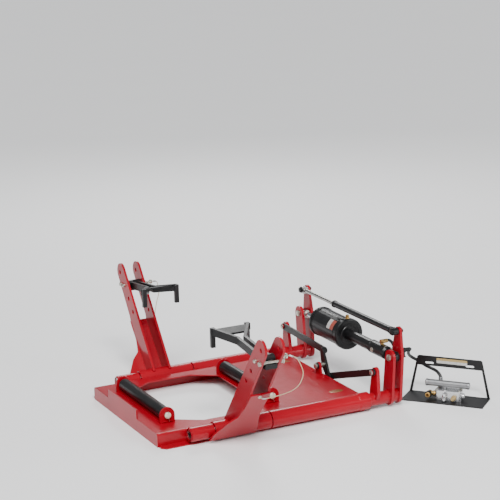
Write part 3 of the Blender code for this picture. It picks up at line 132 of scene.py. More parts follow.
class Finish:
    """A material being built: its shader, the place on the piece and the way the surface faces."""

    def __init__(self, name, metallic=0.0, coat=0.0, coat_roughness=0.05):
        self.material = bpy.data.materials.new(name)
        self.material.use_nodes = True
        self.shader = self.material.node_tree.nodes["Principled BSDF"]
        self.wire = Wire(self.material.node_tree)
        self.place = self.wire.make("ShaderNodeTexCoord", out="Object")
        self.facing = self.wire.make("ShaderNodeTexCoord", out="Normal")
        self.shader.inputs["Metallic"].default_value = metallic
        self.shader.inputs["Coat Weight"].default_value = coat
        self.shader.inputs["Coat Roughness"].default_value = coat_roughness

    def set(self, colour, roughness, height=None, strength=0.1, depth=0.0005, edge=0.0):
        """Wire up colour and roughness, a bump, and the radius that broken edges are shaded with."""
        self.wire.feed(self.shader.inputs["Base Color"], colour)
        self.wire.feed(self.shader.inputs["Roughness"], roughness)
        values = {"Strength": strength, "Distance": depth, "Height": height}
        if edge:
            values["Normal"] = self.wire.make("ShaderNodeBevel", {"samples": 4}, {"Radius": edge})
        bump = self.wire.make("ShaderNodeBump", {}, values)
        self.wire.feed(self.shader.inputs["Normal"], bump)
        return self.material


RED = (0.350, 0.0001, 0.0110)
RED_DEEP = (0.280, 0.0001, 0.0080)
SHOP_DUST = (0.120, 0.024, 0.020)
TYRE_SCUFF = (0.025, 0.004, 0.005)


def red_enamel(name, scuffs):
    """Gloss enamel with faint orange peel, a little dust on top, and tyre scuffs where they fall."""
    paint = Finish(name, coat=0.28, coat_roughness=0.05)
    paint.shader.inputs["Specular IOR Level"].default_value = 0.18
    cloud = paint.place.noise(5.0, 4.0)
    peel = paint.place.noise(210.0, 2.0)
    up = paint.facing.part("Z").rise(0.70, 0.98)
    dust = up * paint.place.noise(28.0, 5.0).rise(0.46, 0.74)
    streak = paint.place.stretched((70.0, 7.0, 70.0)).noise(1.0, 6.0).rise(0.60, 0.72) * up
    colour = paint.wire.tint(cloud.rise(0.35, 0.68), RED_DEEP, RED)
    colour = paint.wire.tint(dust * 0.10, colour, SHOP_DUST)
    colour = paint.wire.tint(streak * scuffs, colour, TYRE_SCUFF)
    roughness = 0.26 + peel * 0.06 + dust * 0.10 + streak * scuffs * 0.3
    return paint.set(colour, roughness, peel, 0.10, 0.0004, edge=0.0014)


def dress(finish, *names):
    """Give CAD nodes a finish."""
    for name in names:
        frame["nodes"][name].material_slots[0].material = finish


enamel = red_enamel("red_enamel", 0.10)
deck_enamel = red_enamel("deck_enamel", 0.25)
dress(deck_enamel, "base_pan")
dress(enamel, "left_end_plate", "equalizer_ear")
pan_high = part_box("base_pan")[1]
deck_z = pan_high.z


# ---------------------------------------------------------------- deck plates
# Blank oval and oblong stick-on plates on the deck, of thin gold foil, rubbed nearly to the paint's
# own colour, and two domed rivets beside the equalizer's ear.

FOIL = (0.210, 0.105, 0.030)
foil_finish = Finish("worn_foil", metallic=0.4)
foil_wear = foil_finish.place.noise(260.0, 4.0).rise(0.42, 0.62)
foil = foil_finish.set(foil_finish.wire.tint(foil_wear * 0.6, FOIL, RED_DEEP), 0.34 + foil_wear * 0.2,
                       foil_wear, 0.08, 0.0001)


def add_piece(name, shape, finish, body, sharp=40):
    """A finished piece from its shape, riding on a body."""
    bmesh.ops.remove_doubles(shape, verts=shape.verts, dist=1e-6)
    bmesh.ops.recalc_face_normals(shape, faces=shape.faces)
    mesh = bpy.data.meshes.new(name)
    shape.to_mesh(mesh)
    shape.free()
    mesh.shade_smooth()
    mesh.set_sharp_from_angle(angle=radians(sharp))
    mesh.materials.append(finish)
    piece = bpy.data.objects.new(name, mesh)
    bpy.context.scene.collection.objects.link(piece)
    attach(piece, body)
    return piece


def joined(*shapes):
    """Several shapes in one."""
    whole = shapes[0]
    for shape in shapes[1:]:
        mesh = bpy.data.meshes.new("joined")
        shape.to_mesh(mesh)
        shape.free()
        whole.from_mesh(mesh)
        bpy.data.meshes.remove(mesh)
    return whole


def lathed(outline, axis, at, steps=28):
    """A turned shape: an outline of (distance along, radius), spun about an axis through a point."""
    shape = bmesh.new()
    line = [shape.verts.new((radius, 0, along)) for along, radius in outline]
    edges = [shape.edges.new(pair) for pair in zip(line, line[1:])]
    bmesh.ops.spin(shape, geom=line + edges, cent=(0, 0, 0), axis=(0, 0, 1), angle=2 * pi, steps=steps,
                   use_merge=True)
    bmesh.ops.remove_doubles(shape, verts=shape.verts, dist=1e-6)
    turn = Vector(axis).to_track_quat("Z", "Y").to_matrix().to_4x4()
    shape.transform(Matrix.Translation(at) @ turn)
    return shape


oval = lathed([(0, 0), (0, 0.98), (0.4, 1.0), (1.0, 0.97), (1.0, 0)], (0, 0, 1), (0, 0, 0), 36)
oval.transform(Matrix.Translation((0.315, 0.094, deck_z)) @ Matrix.Diagonal((0.026, 0.015, 0.0003, 1)))
add_piece("deck_oval_plate", oval, foil, "base")
oblong = bmesh.new()
bmesh.ops.create_cube(oblong, size=1.0)
uprights = [edge for edge in oblong.edges if abs(edge.verts[0].co.z - edge.verts[1].co.z) > 0.5]
bmesh.ops.bevel(oblong, geom=uprights, offset=0.12, segments=4, profile=0.5, affect="EDGES", material=-1)
oblong_place = Matrix.Translation((0.315, 0.470, deck_z + 0.00015))
oblong.transform(oblong_place @ Matrix.Diagonal((0.044, 0.024, 0.0003, 1)))
add_piece("deck_oblong_plate", oblong, foil, "base")
ear_low, ear_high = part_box("equalizer_ear")
DOME = [(0, 0), (0, 0.0050), (0.0010, 0.0048), (0.0022, 0.0036), (0.0028, 0.0018), (0.0030, 0)]
rivets = [lathed(DOME, (0, 0, 1), ((ear_low.x + ear_high.x) / 2 - 0.004, y, deck_z), 16)
          for y in (ear_low.y - 0.022, ear_high.y + 0.022)]
add_piece("deck_rivets", joined(*rivets), enamel, "base")


# ---------------------------------------------------------------- welds on the base
# Rippled beads laid by hand and painted over: stitches along each sleeve and wall, along the feet
# of the ears, and round the left bearings.

def even_run(start, end, pitch=0.0013):
    """Points a bead's ripple apart on a straight line."""
    start, end = Vector(start), Vector(end)
    count = max(3, round((end - start).length / pitch))
    return [start.lerp(end, number / count) for number in range(count + 1)]


def round_run(centre, radius, first, last, pitch=0.0013):
    """The same round an axis along X, from one angle to another, in degrees from straight up towards -Y."""
    count = max(6, round(radius * radians(abs(last - first)) / pitch))
    run = []
    for number in range(count + 1):
        angle = radians(first + (last - first) * number / count)
        run.append(Vector(centre) + Vector((0, -sin(angle) * radius, cos(angle) * radius)))
    return run


def tube_mesh(name, runs, radius, ripple=0.0, resolution=2):
    """A mesh of round tubes along runs of points, with a ripple if asked."""
    curve = bpy.data.curves.new(name, "CURVE")
    curve.dimensions = "3D"
    curve.bevel_depth = radius
    curve.bevel_resolution = resolution
    curve.use_fill_caps = True
    for run in runs:
        line = curve.splines.new("POLY")
        line.points.add(len(run) - 1)
        for number, point in enumerate(run):
            line.points[number].co = (*point, 1.0)
            swell = 1.0 - ripple * (number % 2)
            line.points[number].radius = swell if 0 < number < len(run) - 1 else 1.0 - 2 * ripple
    source = bpy.data.objects.new(name, curve)
    bpy.context.scene.collection.objects.link(source)
    bpy.context.view_layer.update()
    mesh = bpy.data.meshes.new_from_object(source.evaluated_get(bpy.context.evaluated_depsgraph_get()))
    bpy.data.objects.remove(source)
    bpy.data.curves.remove(curve)
    return mesh


def lay_weld(name, runs, radius, finish, body):
    """Weld beads along runs of points."""
    shape = bmesh.new()
    shape.from_mesh(tube_mesh(name, runs, radius, ripple=0.14))
    return add_piece(name, shape, finish, body, sharp=60)


def seat(flip, x, y, z):
    """A front place, or its rear copy."""
    return Vector((x, mid_y + flip * (y - mid_y), z))


arm_axis = joint["front_arm_swing"]
sleeve_low, sleeve_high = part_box("front_sleeve")
wall_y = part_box("left_end_plate")[0].y
STITCHES = 5
STITCH = 0.042
pitch = (sleeve_high.x - sleeve_low.x - 0.045) / STITCHES
for end, flip in ENDS:
    runs = []
    for number in range(STITCHES):
        x = sleeve_low.x + 0.012 + number * pitch
        runs.append(even_run(seat(flip, x, wall_y - 0.0022, arm_axis.z + 0.0085),
                             seat(flip, x + STITCH, wall_y - 0.0022, arm_axis.z + 0.0085)))
    lay_weld(end + "_sleeve_welds", runs, 0.0021, enamel, "base")
ear_feet = [even_run((x, ear_low.y + 0.002, deck_z + 0.0006), (x, ear_high.y - 0.002, deck_z + 0.0006))
            for x in (ear_low.x - 0.0006, ear_high.x + 0.0006)]
lay_weld("ear_welds", ear_feet, 0.0016, enamel, "base")


# ---------------------------------------------------------------- sleeves, bearings and shafts
# Drawn tubes welded in the corner of flange and wall carry the two torque shafts, which are ground
# bar with a film of oil, in sintered bronze bushes; a painted ring closes each left end.

dress(enamel, "front_sleeve", "rear_sleeve", "front_stub_bearing", "rear_stub_bearing")
OILED_STEEL = (0.420, 0.410, 0.395)
STEEL_STAIN = (0.160, 0.140, 0.115)
BRONZE = (0.430, 0.250, 0.110)


def ground_steel(name, along):
    """Ground or turned bar: fine rings across its length and a few oil stains."""
    bar = Finish(name, metallic=1.0)
    across = [12.0, 12.0, 12.0]
    across["XYZ".index(along)] = 1500.0
    rings = bar.place.stretched(across).noise(1.0, 3.0)
    stain = bar.place.noise(34.0, 5.0).rise(0.52, 0.72)
    colour = bar.wire.tint(stain * 0.5, OILED_STEEL, STEEL_STAIN)
    return bar.set(colour, 0.22 + rings * 0.10 + stain * 0.15, rings, 0.12, 0.0001, edge=0.0005)


def turned_alloy(name, colour, dull, roughness, edge=0.0005):
    """Brass, bronze or zinc plate: a thin tarnish in patches over fine turning marks."""
    metal = Finish(name, metallic=1.0)
    tarnish = metal.place.noise(90.0, 5.0).rise(0.42, 0.70)
    marks = metal.place.noise(1400.0, 2.0)
    tone = metal.wire.tint(tarnish, colour, dull)
    return metal.set(tone, roughness + tarnish * 0.14 + marks * 0.05, marks, 0.08, 0.0001, edge=edge)


shaft_steel = ground_steel("shaft_steel", "X")
bronze = turned_alloy("sintered_bronze", BRONZE, (0.230, 0.130, 0.060), 0.36)
dress(shaft_steel, "front_shaft", "rear_shaft")
dress(bronze, "front_bush", "rear_bush")
stub_low, stub_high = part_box("front_stub_bearing")
shaft_low, shaft_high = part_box("front_shaft")
SHAFT_RADIUS = (shaft_high.z - shaft_low.z) / 2
for end, flip in ENDS:
    centre = seat(flip, stub_low.x, arm_axis.y, arm_axis.z)
    ring = [(-0.0030, SHAFT_RADIUS + 0.0006), (-0.0030, SHAFT_RADIUS + 0.0028),
            (-0.0022, SHAFT_RADIUS + 0.0036), (-0.0002, SHAFT_RADIUS + 0.0036),
            (-0.0002, SHAFT_RADIUS + 0.0006), (-0.0030, SHAFT_RADIUS + 0.0006)]
    add_piece(end + "_bearing_ring", lathed(ring, (1, 0, 0), centre, 36), enamel, "base")
    web = [even_run(seat(flip, stub_low.x + 0.013, wall_y - 0.0025, 0.0395),
                    seat(flip, stub_high.x - 0.013, wall_y - 0.0025, 0.0395))]
    lay_weld(end + "_bearing_weld", web, 0.0020, enamel, "base")


# ---------------------------------------------------------------- rollers
# Two steel tube rollers under the tyre, satin black, in red strip cradles bent up at both ends.  The
# plated axles have cream plastic caps over their front heads, split pins and spring clips.

BLACK = (0.0045, 0.0045, 0.0050)
BLACK_GREY = (0.0110, 0.0108, 0.0112)


def black_paint(name, roughness=0.34, wear=0.0, bare=(0.300, 0.290, 0.280)):
    """Satin black enamel; wear is how far upward faces are rubbed to bare steel."""
    paint = Finish(name, coat=0.12, coat_roughness=0.16)
    paint.shader.inputs["Specular IOR Level"].default_value = 0.30
    cloud = paint.place.noise(16.0, 4.0)
    grain = paint.place.noise(420.0, 3.0)
    up = paint.facing.part("Z").rise(0.93, 0.999)
    rubbed = up * paint.place.stretched((60.0, 14.0, 60.0)).noise(1.0, 5.0).rise(0.40, 0.62) * wear
    colour = paint.wire.tint(cloud.rise(0.30, 0.75), BLACK, BLACK_GREY)
    colour = paint.wire.tint(rubbed, colour, bare)
    paint.wire.feed(paint.shader.inputs["Metallic"], rubbed * 0.9)
    return paint.set(colour, roughness + cloud * 0.10 + grain * 0.05, grain, 0.10, 0.0003, edge=0.0009)


satin_black = black_paint("satin_black")
roller_black = black_paint("roller_black", 0.26)
ZINC = (0.620, 0.600, 0.520)
zinc = turned_alloy("zinc_plate", ZINC, (0.400, 0.390, 0.350), 0.30)
cream_finish = Finish("cream_plastic", coat=0.3)
cream_soil = cream_finish.place.noise(110.0, 4.0).rise(0.45, 0.75)
cream_colour = cream_finish.wire.tint(cream_soil * 0.6, (0.720, 0.660, 0.520), (0.330, 0.270, 0.190))
cream_plastic = cream_finish.set(cream_colour, 0.34 + cream_soil * 0.12, cream_soil, 0.05, 0.0002)
for side in ("left", "right"):
    dress(enamel, side + "_roller_cradle")
    dress(roller_black, side + "_roller")
    dress(zinc, side + "_axle")
    axle_low, axle_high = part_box(side + "_axle")
    cradle_low, cradle_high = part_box(side + "_roller_cradle")
    roller_low, roller_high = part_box(side + "_roller")
    x = (axle_low.x + axle_high.x) / 2
    z = joint[side + "_roller_spin"].z
    clip = [(0, 0.0058), (0, 0.0100), (0.0004, 0.0104), (0.0016, 0.0104), (0.0020, 0.0100), (0.0020, 0.0058),
            (0, 0.0058)]
    add_piece(side + "_axle_clip", lathed(clip, (0, 1, 0), (x, cradle_high.y + 0.0004, z), 24), zinc,
              "base")
    washers = []
    for y in (roller_low.y - 0.0040, roller_high.y + 0.0010):
        flat = [(0, 0.0074), (0, 0.0135), (0.0004, 0.0140), (0.0026, 0.0140), (0.0030, 0.0135),
                (0.0030, 0.0074), (0, 0.0074)]
        washers.append(lathed(flat, (0, 1, 0), (x, y, z), 24))
    add_piece(side + "_axle_washers", joined(*washers), zinc, "base")
    dome = [(-0.0034, 0), (-0.0034, 0.0040), (-0.0028, 0.0074), (-0.0014, 0.0098), (0.0004, 0.0107),
            (0.0036, 0.0107), (0.0036, 0.0104), (-0.0002, 0.0104), (-0.0002, 0)]
    add_piece(side + "_axle_cap", lathed(dome, (0, 1, 0), (x, axle_low.y, z), 26), cream_plastic, "base")
    leg = axle_low.y - 0.0022
    split = [Vector((x + 0.0012 * turn, leg, z - drop)) for turn, drop in
             ((-1, -0.012), (0, -0.0145), (1, -0.012), (1, 0.0), (1.2, 0.012), (2.0, 0.0165), (3.0, 0.0190))]
    pin_mesh = bmesh.new()
    pin_mesh.from_mesh(tube_mesh("split_pin", [split], 0.0009))
    add_piece(side + "_split_pin", pin_mesh, zinc, "base")
    feet = []
    foot_z = deck_z + 0.0034
    for y in (cradle_low.y - 0.0008, cradle_low.y + 0.0068, cradle_high.y - 0.0068, cradle_high.y + 0.0008):
        feet.append(even_run((x - 0.019, y, foot_z), (x + 0.019, y, foot_z)))
    lay_weld(side + "_cradle_welds", feet[1:3], 0.0013, enamel, "base")
    lay_weld(side + "_cradle_foot_welds", [feet[0], feet[3]], 0.0016, enamel, "base")


# ---------------------------------------------------------------- towers and covers
# Each arm's tower is a hub tube with two flame-cut side plates and a flared cover, all welded and
# sprayed red.  The beads follow the plates' feet and the cover's edges.

for end, flip in ENDS:
    dress(enamel, end + "_tower", end + "_cover")
lean = radians(41.0)
tower_up = Vector((0, -sin(lean), cos(lean)))
tower_out = Vector((0, -cos(lean), -sin(lean)))
tyre_x = joint["front_hook_lift"].x
HALF_SPREAD = 0.0340
HUB_RADIUS = 0.0280
COVER_FACE = 0.0333
COVER_TOP = 0.236


def on_tower(flip, x, along, side):
    """A place given by its distance up the tower and out of it."""
    point = Vector((x, arm_axis.y, arm_axis.z)) + tower_up * along + tower_out * side
    return seat(flip, *point)


for end, flip in ENDS:
    runs = []
    for x in (tyre_x - HALF_SPREAD - 0.0006, tyre_x + HALF_SPREAD + 0.0006):
        run = round_run((x, arm_axis.y, arm_axis.z), HUB_RADIUS + 0.0004, 41.0 - 66.0, 41.0 + 66.0)
        runs.append([seat(flip, *point) for point in run])
    for x in (tyre_x - HALF_SPREAD, tyre_x + HALF_SPREAD):
        for low, high in ((0.125, 0.160), (0.192, 0.228)):
            runs.append(even_run(on_tower(flip, x, low, HUB_RADIUS), on_tower(flip, x, high, HUB_RADIUS)))
    for low, high in ((-0.070, -0.040), (0.010, 0.046)):
        runs.append(even_run(on_tower(flip, tyre_x + low, 0.0035, HUB_RADIUS + 0.0010),
                             on_tower(flip, tyre_x + high, 0.0035, HUB_RADIUS + 0.0010)))
    lay_weld(end + "_tower_welds", runs, 0.0019, enamel, end + "_arm")


# ---------------------------------------------------------------- levers
# Lever plates and the equalizer's post, welded round a tube on each shaft's right end, red like the
# towers, with ring beads where each plate meets the tube.

for end, flip in ENDS:
    dress(enamel, end + "_levers")
lever_low, lever_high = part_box("front_levers")
TUBE_RADIUS = 0.0220
LEVER_PLATE = 0.0100
inner_x = lever_low.x + 0.0790
outer_x = lever_low.x + 0.1110
post_x = lever_low.x + 0.0225
for end, flip in ENDS:
    runs = []
    for middle, half in ((inner_x, LEVER_PLATE / 2), (outer_x, LEVER_PLATE / 2)):
        for face in (middle - half - 0.0006, middle + half + 0.0006):
            if face < lever_high.x - 0.001:
                run = round_run((face, arm_axis.y, arm_axis.z), TUBE_RADIUS + 0.0004, 0.0, 360.0)
                runs.append([seat(flip, *point) for point in run])
    for face in (post_x - 0.0066, post_x + 0.0066):
        run = round_run((face, arm_axis.y, arm_axis.z), TUBE_RADIUS + 0.0004, -38.0, 62.0)
        runs.append([seat(flip, *point) for point in run])
    lay_weld(end + "_lever_welds", runs, 0.0017, enamel, end + "_arm")


# ---------------------------------------------------------------- bolts
# Hexagon bolts with washers and nuts through the towers, levers and the equalizer's ear, zinc plated
# and pale, but black through the lever tops; they take the place of the plain pins.

def hexagon(across, start, end, at):
    """A chamfered hexagon along X, as wide as its spanner."""
    shape = bmesh.new()
    radius = across / sqrt(3)
    bmesh.ops.create_cone(shape, cap_ends=True, segments=6, radius1=radius, radius2=radius,
                          depth=end - start)
    bmesh.ops.bevel(shape, geom=shape.edges[:], offset=0.0005, segments=2, profile=0.5, affect="EDGES",
                    material=-1)
    shape.transform(Matrix.Translation(Vector(at) + Vector(((start + end) / 2, 0, 0)))
                    @ Matrix.Rotation(pi / 2, 4, "Y") @ Matrix.Rotation(radians(17), 4, "Z"))
    return shape


def bolt(low_x, high_x, at, shank, across):
    """Head outside low_x, nut and thread end outside high_x, a washer under each."""
    at = Vector((0, at.y, at.z))
    washer = across * 0.60
    stem = [(low_x - 0.0050, 0), (low_x - 0.0050, shank * 0.8), (low_x - 0.0016, shank),
            (low_x - 0.0016, washer), (low_x - 0.0002, washer), (low_x - 0.0002, shank),
            (high_x + 0.0002, shank), (high_x + 0.0002, washer), (high_x + 0.0014, washer),
            (high_x + 0.0014, shank)]
    threads = [(high_x + 0.0014 + 0.0006 * step, shank - 0.0005 * (step % 2)) for step in range(1, 14)]
    tip = high_x + 0.0014 + 0.0006 * 14
    stem += threads + [(tip, shank - 0.0008), (tip, 0)]
    head = hexagon(across, low_x - 0.0060, low_x - 0.0015, at)
    nut = hexagon(across, high_x + 0.0013, high_x + 0.0063, at)
    return joined(lathed(stem, (1, 0, 0), at, 24), head, nut)


def fit_bolt(name, node, body, low_x, high_x, at, shank, across, finish=zinc):
    """A bolt that stands for a CAD pin."""
    piece = add_piece(name, bolt(low_x, high_x, at, shank, across), finish, body)
    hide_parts(node)


STOP_UP = 0.3725
STOP_OUT = 0.0045
for end, flip in ENDS:
    arm = end + "_arm"
    lever_pin = seat(flip, *joint["cylinder_pivot"])
    top_pin = seat(flip, *joint["strut_pivot"])
    fit_bolt(end + "_cylinder_bolt", end + "_cylinder_pin", arm, inner_x - 0.005, outer_x + 0.005, lever_pin,
             0.0060, 0.0190)
    fit_bolt(end + "_strut_bolt", end + "_strut_pin", arm, top_pin.x - 0.010, outer_x + 0.005, top_pin,
             0.0060, 0.0170, satin_black)
    fit_bolt(end + "_tower_bolt", end + "_stop_bolt", arm, tyre_x - HALF_SPREAD, tyre_x + HALF_SPREAD,
             on_tower(flip, 0, STOP_UP, STOP_OUT), 0.0045, 0.0130)
pivot = joint["rocker_pivot"]
spacer_finish = black_paint("spacer_black", 0.42)
spacer = [(ear_low.x - 0.0062, 0.0064), (ear_low.x - 0.0062, 0.0110), (ear_low.x - 0.0056, 0.0115),
          (ear_low.x - 0.0004, 0.0115), (ear_low.x - 0.0004, 0.0064), (ear_low.x - 0.0062, 0.0064)]
add_piece("ear_spacer", lathed(spacer, (1, 0, 0), (0, pivot.y, pivot.z)), spacer_finish, "base")
distance = [(ear_high.x + 0.0003, 0.0064), (ear_high.x + 0.0003, 0.0095), (pivot.x - 0.0004, 0.0095),
            (pivot.x - 0.0004, 0.0064), (ear_high.x + 0.0003, 0.0064)]
add_piece("rocker_distance_tube", lathed(distance, (1, 0, 0), (0, pivot.y, pivot.z)), zinc, "base")
fit_bolt("rocker_bolt", "equalizer_bolt", "base", ear_low.x - 0.0064, pivot.x + 0.0084, pivot, 0.0060,
         0.0170)
for end, flip in ENDS:
    head = on_tower(flip, tyre_x, COVER_TOP - 0.012, COVER_FACE)
    outward = (0, flip * tower_out.y, tower_out.z)
    button = [(-0.0045, 0), (-0.0045, 0.0034), (0, 0.0034), (0, 0.0064), (0.0006, 0.0068), (0.0020, 0.0064),
              (0.0034, 0.0048), (0.0036, 0.0024), (0.0026, 0.0022), (0.0026, 0)]
    add_piece(end + "_lanyard_screw", lathed(button, outward, head, 24), zinc, end + "_arm")


# ---------------------------------------------------------------- hooks
# Hook arms of flat bar on edge with a web behind the two fingers, satin black; beads have rubbed the
# upper edges a little.  Small beads tie web, bars and fingers together.

hook_black = black_paint("hook_black", 0.38, wear=0.10)
for end, flip in ENDS:
    dress(hook_black, end + "_hook")
    hook_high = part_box("front_hook")[1]
    pin = joint["front_hook_lift"]
    tip_y = hook_high.y - 0.0125
    tip_z = hook_high.z - 0.0120
    runs = []
    for side in (-1, 1):
        tip = (tyre_x + side * 0.0600, tip_y, tip_z)
        for inward in (-0.0074, 0.0074):
            runs.append(even_run(seat(flip, tip[0] + inward, tip[1] - 0.0004, tip[2] - 0.011),
                                 seat(flip, tip[0] + inward, tip[1] - 0.0004, tip[2] + 0.010)))
        for level in (-0.0112, 0.0112):
            runs.append(even_run(seat(flip, tyre_x + side * 0.0068, pin.y + 0.0148, pin.z + level * 0.45),
                                 seat(flip, tyre_x + side * 0.0068, pin.y + 0.0120, pin.z + level * 0.80)))
    lay_weld(end + "_hook_welds", runs, 0.0014, satin_black, end + "_hook")


# ---------------------------------------------------------------- detent pins and their rings
# Quick-release pins, zinc plated, with a split pull ring through the knob's neck.

pin_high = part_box("front_detent_pin")[1]
RING_RADIUS = 0.0130
RING_WIRE = 0.0010
for end, flip in ENDS:
    dress(zinc, end + "_detent_pin")
    hub = seat(flip, pin_high.x - 0.0120, joint["front_hook_lift"].y, joint["front_hook_lift"].z)
    loops = []
    for turn in range(49):
        angle = 2 * pi * 2 * turn / 48
        drift = 0.0011 * (turn / 24 - 1)
        loops.append(hub + Vector((drift + 0.004 * sin(angle), RING_RADIUS * sin(angle),
                                   -RING_RADIUS + 0.0045 + RING_RADIUS * cos(angle))))
    ring_shape = bmesh.new()
    ring_shape.from_mesh(tube_mesh("ring", [loops], RING_WIRE, resolution=3))
    add_piece(end + "_pull_ring", ring_shape, zinc, end + "_arm", sharp=70)


# ---------------------------------------------------------------- lanyards
# Stranded wire in a cream plastic coat, with a crimped ferrule at each end, from the pin's neck to
# the screw at the cover's top edge.

LANYARD_DIAMETER = 0.0026
WIRE_POINTS = 40
wire_finish = Finish("coated_wire", coat=0.2)
strands = wire_finish.place.stretched((900.0, 900.0, 900.0)).noise(1.0, 2.0)
lanyard_wire = wire_finish.set(wire_finish.wire.tint(strands, (0.620, 0.500, 0.320), (0.420, 0.320, 0.190)),
                               0.38 + strands * 0.1, strands, 0.35, 0.0003)


def smooth_route(points, count):
    """Points spaced evenly along a smooth curve through a cord's own points."""
    ends = [Vector(points[0]) * 2 - Vector(points[1])]
    ends += [Vector(point) for point in points]
    ends.append(Vector(points[-1]) * 2 - Vector(points[-2]))
    fine = []
    for a, b, c, d in zip(ends, ends[1:], ends[2:], ends[3:]):
        for step in range(16):
            t = step / 16
            fine.append(0.5 * (2 * b + (c - a) * t + (2 * a - 5 * b + 4 * c - d) * t * t
                               + (3 * b - a - 3 * c + d) * t * t * t))
    fine.append(ends[-2])
    travelled = [0.0]
    for here, there in zip(fine, fine[1:]):
        travelled.append(travelled[-1] + (there - here).length)
    route, place = [], 0
    for number in range(count):
        target = travelled[-1] * number / (count - 1)
        while place < len(fine) - 2 and travelled[place + 1] < target:
            place += 1
        share = (target - travelled[place]) / (travelled[place + 1] - travelled[place])
        route.append(fine[place].lerp(fine[place + 1], share))
    return route


def length_of(route):
    """How long a route is."""
    return sum((there - here).length for here, there in zip(route, route[1:]))


def lay_cord(name, route, diameter, finish, slot, exit_point, **facts):
    """A cord's mesh along its route; its length is worked out but not kept."""
    mesh = tube_mesh(name, [route], diameter / 2, resolution=4)
    mesh.shade_smooth()
    mesh.materials.append(finish)
    cord = bpy.data.objects.new(name, mesh)
    bpy.context.scene.collection.objects.link(cord)
    length_of(route)
    return cord


ferrule_finish = turned_alloy("crimped_aluminium", (0.560, 0.565, 0.575), (0.400, 0.400, 0.405), 0.34)
pin_end = pin_high.x + 0.0003
for end, flip in ENDS:
    hook_pin = joint["front_hook_lift"]
    outer = ((0.019, 0.357, -0.010), (0.029, 0.356, 0.0036), (0.039, 0.336, 0.037), (0.029, 0.309, 0.0577),
             (0.015, 0.280, 0.060))
    inner = ((0.070, 0.2515, 0.0523), (0.045, 0.228, 0.044), (0.020, 0.222, 0.041),
             (0.003, COVER_TOP - 0.0125, COVER_FACE + 0.0065))
    bends = [seat(flip, pin_end, hook_pin.y, hook_pin.z),
             seat(flip, pin_end + 0.006, hook_pin.y, hook_pin.z)]
    bends += [on_tower(flip, pin_end + x, along, side) for x, along, side in outer]
    bends += [on_tower(flip, tyre_x + x, along, side) for x, along, side in inner]
    bends.append(on_tower(flip, tyre_x, COVER_TOP - 0.012, COVER_FACE + 0.0040))
    route = smooth_route(bends, WIRE_POINTS)
    wire = lay_cord(end + "_lanyard_wire", route, LANYARD_DIAMETER, lanyard_wire, "zinc", route[0],
                    stiffness="stiff", lay="hanging")
    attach(wire, end + "_arm")
    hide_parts(end + "_lanyard")
    crimps = []
    for here, there in ((route[1], route[3]), (route[-4], route[-2])):
        way = there - here
        sleeve = [(0, 0.0014), (0, 0.0024), (0.0010, 0.0030), (way.length - 0.0010, 0.0030),
                  (way.length, 0.0024), (way.length, 0.0014), (0, 0.0014)]
        crimps.append(lathed(sleeve, way, here, 14))
    add_piece(end + "_lanyard_ferrules", joined(*crimps), ferrule_finish, end + "_arm")


# ---------------------------------------------------------------- air cylinder
# Satin black cylinder: end block with its eye and air port, thrust tube, capped barrel, chromed rod.
# A grease nipple, a plug, a breather, a rod wiper and a blank label are fitted to it.

cylinder_black = black_paint("cylinder_black", 0.24)
dress(cylinder_black, "end_block", "extension_tube", "front_cap", "barrel", "rear_cap")
chrome_finish = Finish("chromed_rod", metallic=1.0)
chrome_film = chrome_finish.place.noise(40.0, 4.0)
chrome_colour = chrome_finish.wire.tint(chrome_film, (0.640, 0.640, 0.650), (0.500, 0.500, 0.510))
chrome = chrome_finish.set(chrome_colour, 0.08 + chrome_film * 0.10, chrome_film, 0.02, 0.0001,
                           edge=0.0005)
dress(chrome, "piston_rod")
cast_finish = Finish("cast_alloy", metallic=0.85)
cast_grain = cast_finish.place.cells(620.0)
cast_cloud = cast_finish.place.noise(30.0, 4.0)
cast_colour = cast_finish.wire.tint(cast_cloud, (0.360, 0.362, 0.370), (0.230, 0.230, 0.235))
cast_alloy = cast_finish.set(cast_colour, 0.26 + cast_grain * 0.12, cast_grain, 0.16, 0.0003, edge=0.0009)
rubber_finish = Finish("black_rubber")
rubber_grain = rubber_finish.place.noise(520.0, 4.0)
rubber_bloom = rubber_finish.place.noise(26.0, 4.0).rise(0.45, 0.75)
rubber_colour = rubber_finish.wire.tint(rubber_bloom * 0.5, (0.0100, 0.0100, 0.0105),
                                        (0.0280, 0.0275, 0.0270))
rubber = rubber_finish.set(rubber_colour, 0.44 + rubber_grain * 0.14, rubber_grain, 0.16, 0.0002)
dress(cast_alloy, "piston")
dress(rubber, "piston_seal")
BRASS = (0.600, 0.390, 0.140)
brass = turned_alloy("turned_brass", BRASS, (0.360, 0.220, 0.085), 0.28)
axis = joint["cylinder_pivot"]
block_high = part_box("end_block")[1]
cap_low, cap_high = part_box("front_cap")
barrel_low, barrel_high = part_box("barrel")
rear_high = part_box("rear_cap")[1]
BARREL_RADIUS = (barrel_high.z - barrel_low.z) / 2
nipple = [(0, 0), (0, 0.0045), (0.0035, 0.0045), (0.0035, 0.0030), (0.0070, 0.0024), (0.0080, 0.0034),
          (0.0095, 0.0034), (0.0110, 0.0016), (0.0110, 0)]
add_piece("grease_nipple", lathed(nipple, (0, 0, 1), (axis.x, axis.y + 0.018, axis.z + 0.0138), 18), zinc,
          "cylinder")
plug = [(0, 0), (0, 0.0072), (0.0008, 0.0078), (0.0030, 0.0078), (0.0036, 0.0070), (0.0036, 0.0040),
        (0.0016, 0.0036), (0.0016, 0)]
add_piece("block_plug", lathed(plug, (-1, 0, 0), (axis.x - 0.0222, block_high.y - 0.026, axis.z), 20), zinc,
          "cylinder")
collar_y = block_high.y + 0.0004
clamp = [(0, 0.0196), (0, 0.0212), (0.0012, 0.0224), (0.0090, 0.0224), (0.0102, 0.0212), (0.0102, 0.0196),
         (0, 0.0196)]
